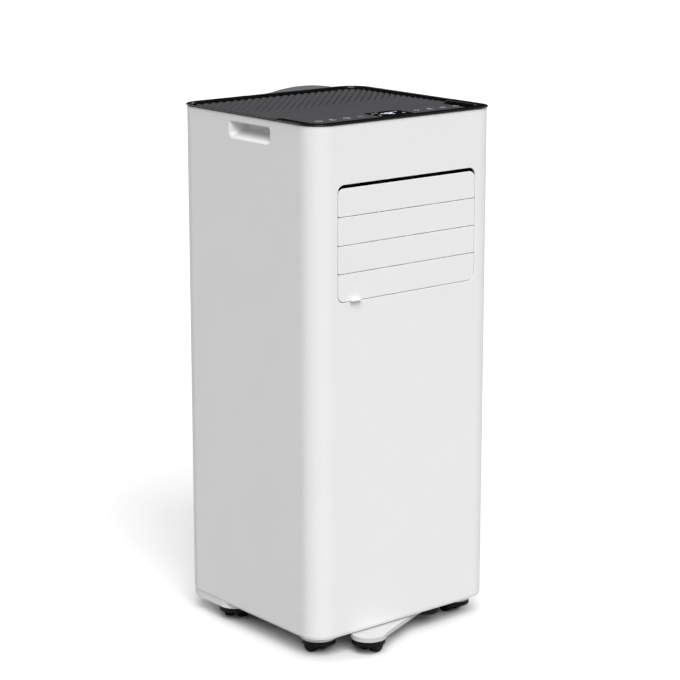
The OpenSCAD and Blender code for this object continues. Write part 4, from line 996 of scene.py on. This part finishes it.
def addSymbol(mesh, kind, cu, cv, low, high, size=symbols["size"]):
    r, line = size/2, symbols["line"]*size/symbols["size"]
    if kind == "power":
        addRing(mesh, cu, cv, r, line, low, high, 120, 300)
        addStroke(mesh, (cu, cv), (cu, cv + r*1.2), line, low, high)
    if kind == "timer":
        addRing(mesh, cu, cv, r, line, low, high)
        addStroke(mesh, (cu, cv), (cu, cv + r*0.6), line, low, high)
        addStroke(mesh, (cu, cv), (cu + r*0.5, cv), line, low, high)
    if kind == "plus":
        addStroke(mesh, (cu - r, cv), (cu + r, cv), line*1.3, low, high)
        addStroke(mesh, (cu, cv - r), (cu, cv + r), line*1.3, low, high)
    if kind == "minus":
        addStroke(mesh, (cu - r, cv), (cu + r, cv), line*1.3, low, high)
    if kind == "fan":
        for i in range(3):
            turn = math.radians(90 + 120*i)
            addRing(mesh, cu + r*0.55*math.cos(turn), cv + r*0.55*math.sin(turn), r*0.42, line, low, high)
    if kind == "flake":
        for i in range(3):
            turn = math.radians(30 + 60*i)
            reach = Vector((math.cos(turn), math.sin(turn)))*r
            addStroke(mesh, (cu - reach.x, cv - reach.y), (cu + reach.x, cv + reach.y), line, low, high)
    if kind == "drop":
        addRing(mesh, cu, cv - r*0.3, r*0.7, line, low, high, -210, 240)
        addStroke(mesh, (cu - r*0.62, cv + r*0.05), (cu, cv + r*1.1), line, low, high)
        addStroke(mesh, (cu + r*0.62, cv + r*0.05), (cu, cv + r*1.1), line, low, high)
    if kind == "moon":
        addRing(mesh, cu, cv, r, line, low, high, 50, 260)
        addRing(mesh, cu + r*0.55, cv + r*0.1, r*0.8, line, low, high, 85, 190)


mesh = bmesh.new()
printLow, printHigh = panelHigh.z - symbols["print"], panelHigh.z + symbols["rise"]
for place in range(4):
    outX = symbols["first"] + place*symbols["pitch"]
    for kind, x in ((("minus", "timer", "moon", "power")[place], windowLow.x - outX),
                    (("plus", "fan", "flake", "drop")[place], windowHigh.x + outX)):
        addSymbol(mesh, kind, x, midY, printLow, printHigh)
finishPiece("touchSymbols", mesh, "control_panel", material=inkMaterial, replaced=[])

# Two seven-segment digits and a degree ring, shown through the window.
digits = {"height": 12*mm, "width": 5.6*mm, "line": 1.3*mm, "gap": 0.3*mm, "pitch": 8.6*mm,
          "shown": ("bcfg", "abged"), "lift": 0.12*mm, "sink": 0.1*mm, "shift": 1.5*mm,
          "degree": (9*mm, 5*mm, 1.2*mm, 0.6*mm)}
digitLow, digitHigh = windowHigh.z - digits["sink"], windowHigh.z + digits["lift"]
mesh = bmesh.new()
for place, lit in enumerate(digits["shown"]):
    w, h, gapSize = digits["width"]/2, digits["height"]/2, digits["gap"] + digits["line"]/2
    cu = midX + (place - 0.5)*digits["pitch"] - digits["shift"]
    ends = {"a": ((-w, h), (w, h)), "b": ((w, h), (w, 0)), "c": ((w, 0), (w, -h)),
            "d": ((w, -h), (-w, -h)), "e": ((-w, -h), (-w, 0)), "f": ((-w, 0), (-w, h)),
            "g": ((-w, 0), (w, 0))}
    for segment in lit:
        a, b = (Vector(p) for p in ends[segment])
        short = (b - a).normalized()*gapSize
        addStroke(mesh, (cu + a.x + short.x, midY + a.y + short.y),
                  (cu + b.x - short.x, midY + b.y - short.y), digits["line"], digitLow, digitHigh)
degreeX, degreeY, degreeRadius, degreeLine = digits["degree"]
addRing(mesh, midX + degreeX, midY + degreeY, degreeRadius, degreeLine, digitLow, digitHigh)
finishPiece("displayDigits", mesh, "display_window", material=segmentMaterial, replaced=[])
# Small symbols round the digits, by their places from the window's middle in millimetres.
windowMarks = {"flake": (-20, 8), "fan": (-20, -7), "drop": (-12, 11), "timer": (18, 9), "moon": (20, -6)}
mesh = bmesh.new()
for kind, (x, y) in windowMarks.items():
    addSymbol(mesh, kind, midX + x*mm, midY + y*mm, digitLow, digitHigh, symbols["small"])
finishPiece("displaySymbols", mesh, "display_window", material=inkMaterial, replaced=[])
print("lid done")

# Parts whose own shape is right, with their edges eased.
softList = ("base_pan", "exhaust_connector", "upper_intake_grille", "lower_intake_grille",
            "drain_nozzle", "drain_cap", "sump_plug", "cord_gland", "front_foot", "foot_cap")
easeRadius = 0.5*mm
for node in softList:
    softened(node, easeRadius)
# The foot takes the duller white: painted shade on the same ABS as the shell.
bpy.data.objects["front_foot_eased"].data.materials[0] = mouldedPlastic(footShadedAbs)
footDrop = 1.8*mm  # the foot's arm hangs a little clear of the shell's lower edge
footSkin = 0.7*mm
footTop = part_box("front_foot")[1].z
for vertex in bpy.data.objects["front_foot_eased"].data.vertices:
    if vertex.co.z > footTop - footSkin:
        vertex.co.z -= footDrop
for node in frame["nodes"]:
    if "caster" in node:
        softened(node, easeRadius)
print("eased pieces done")
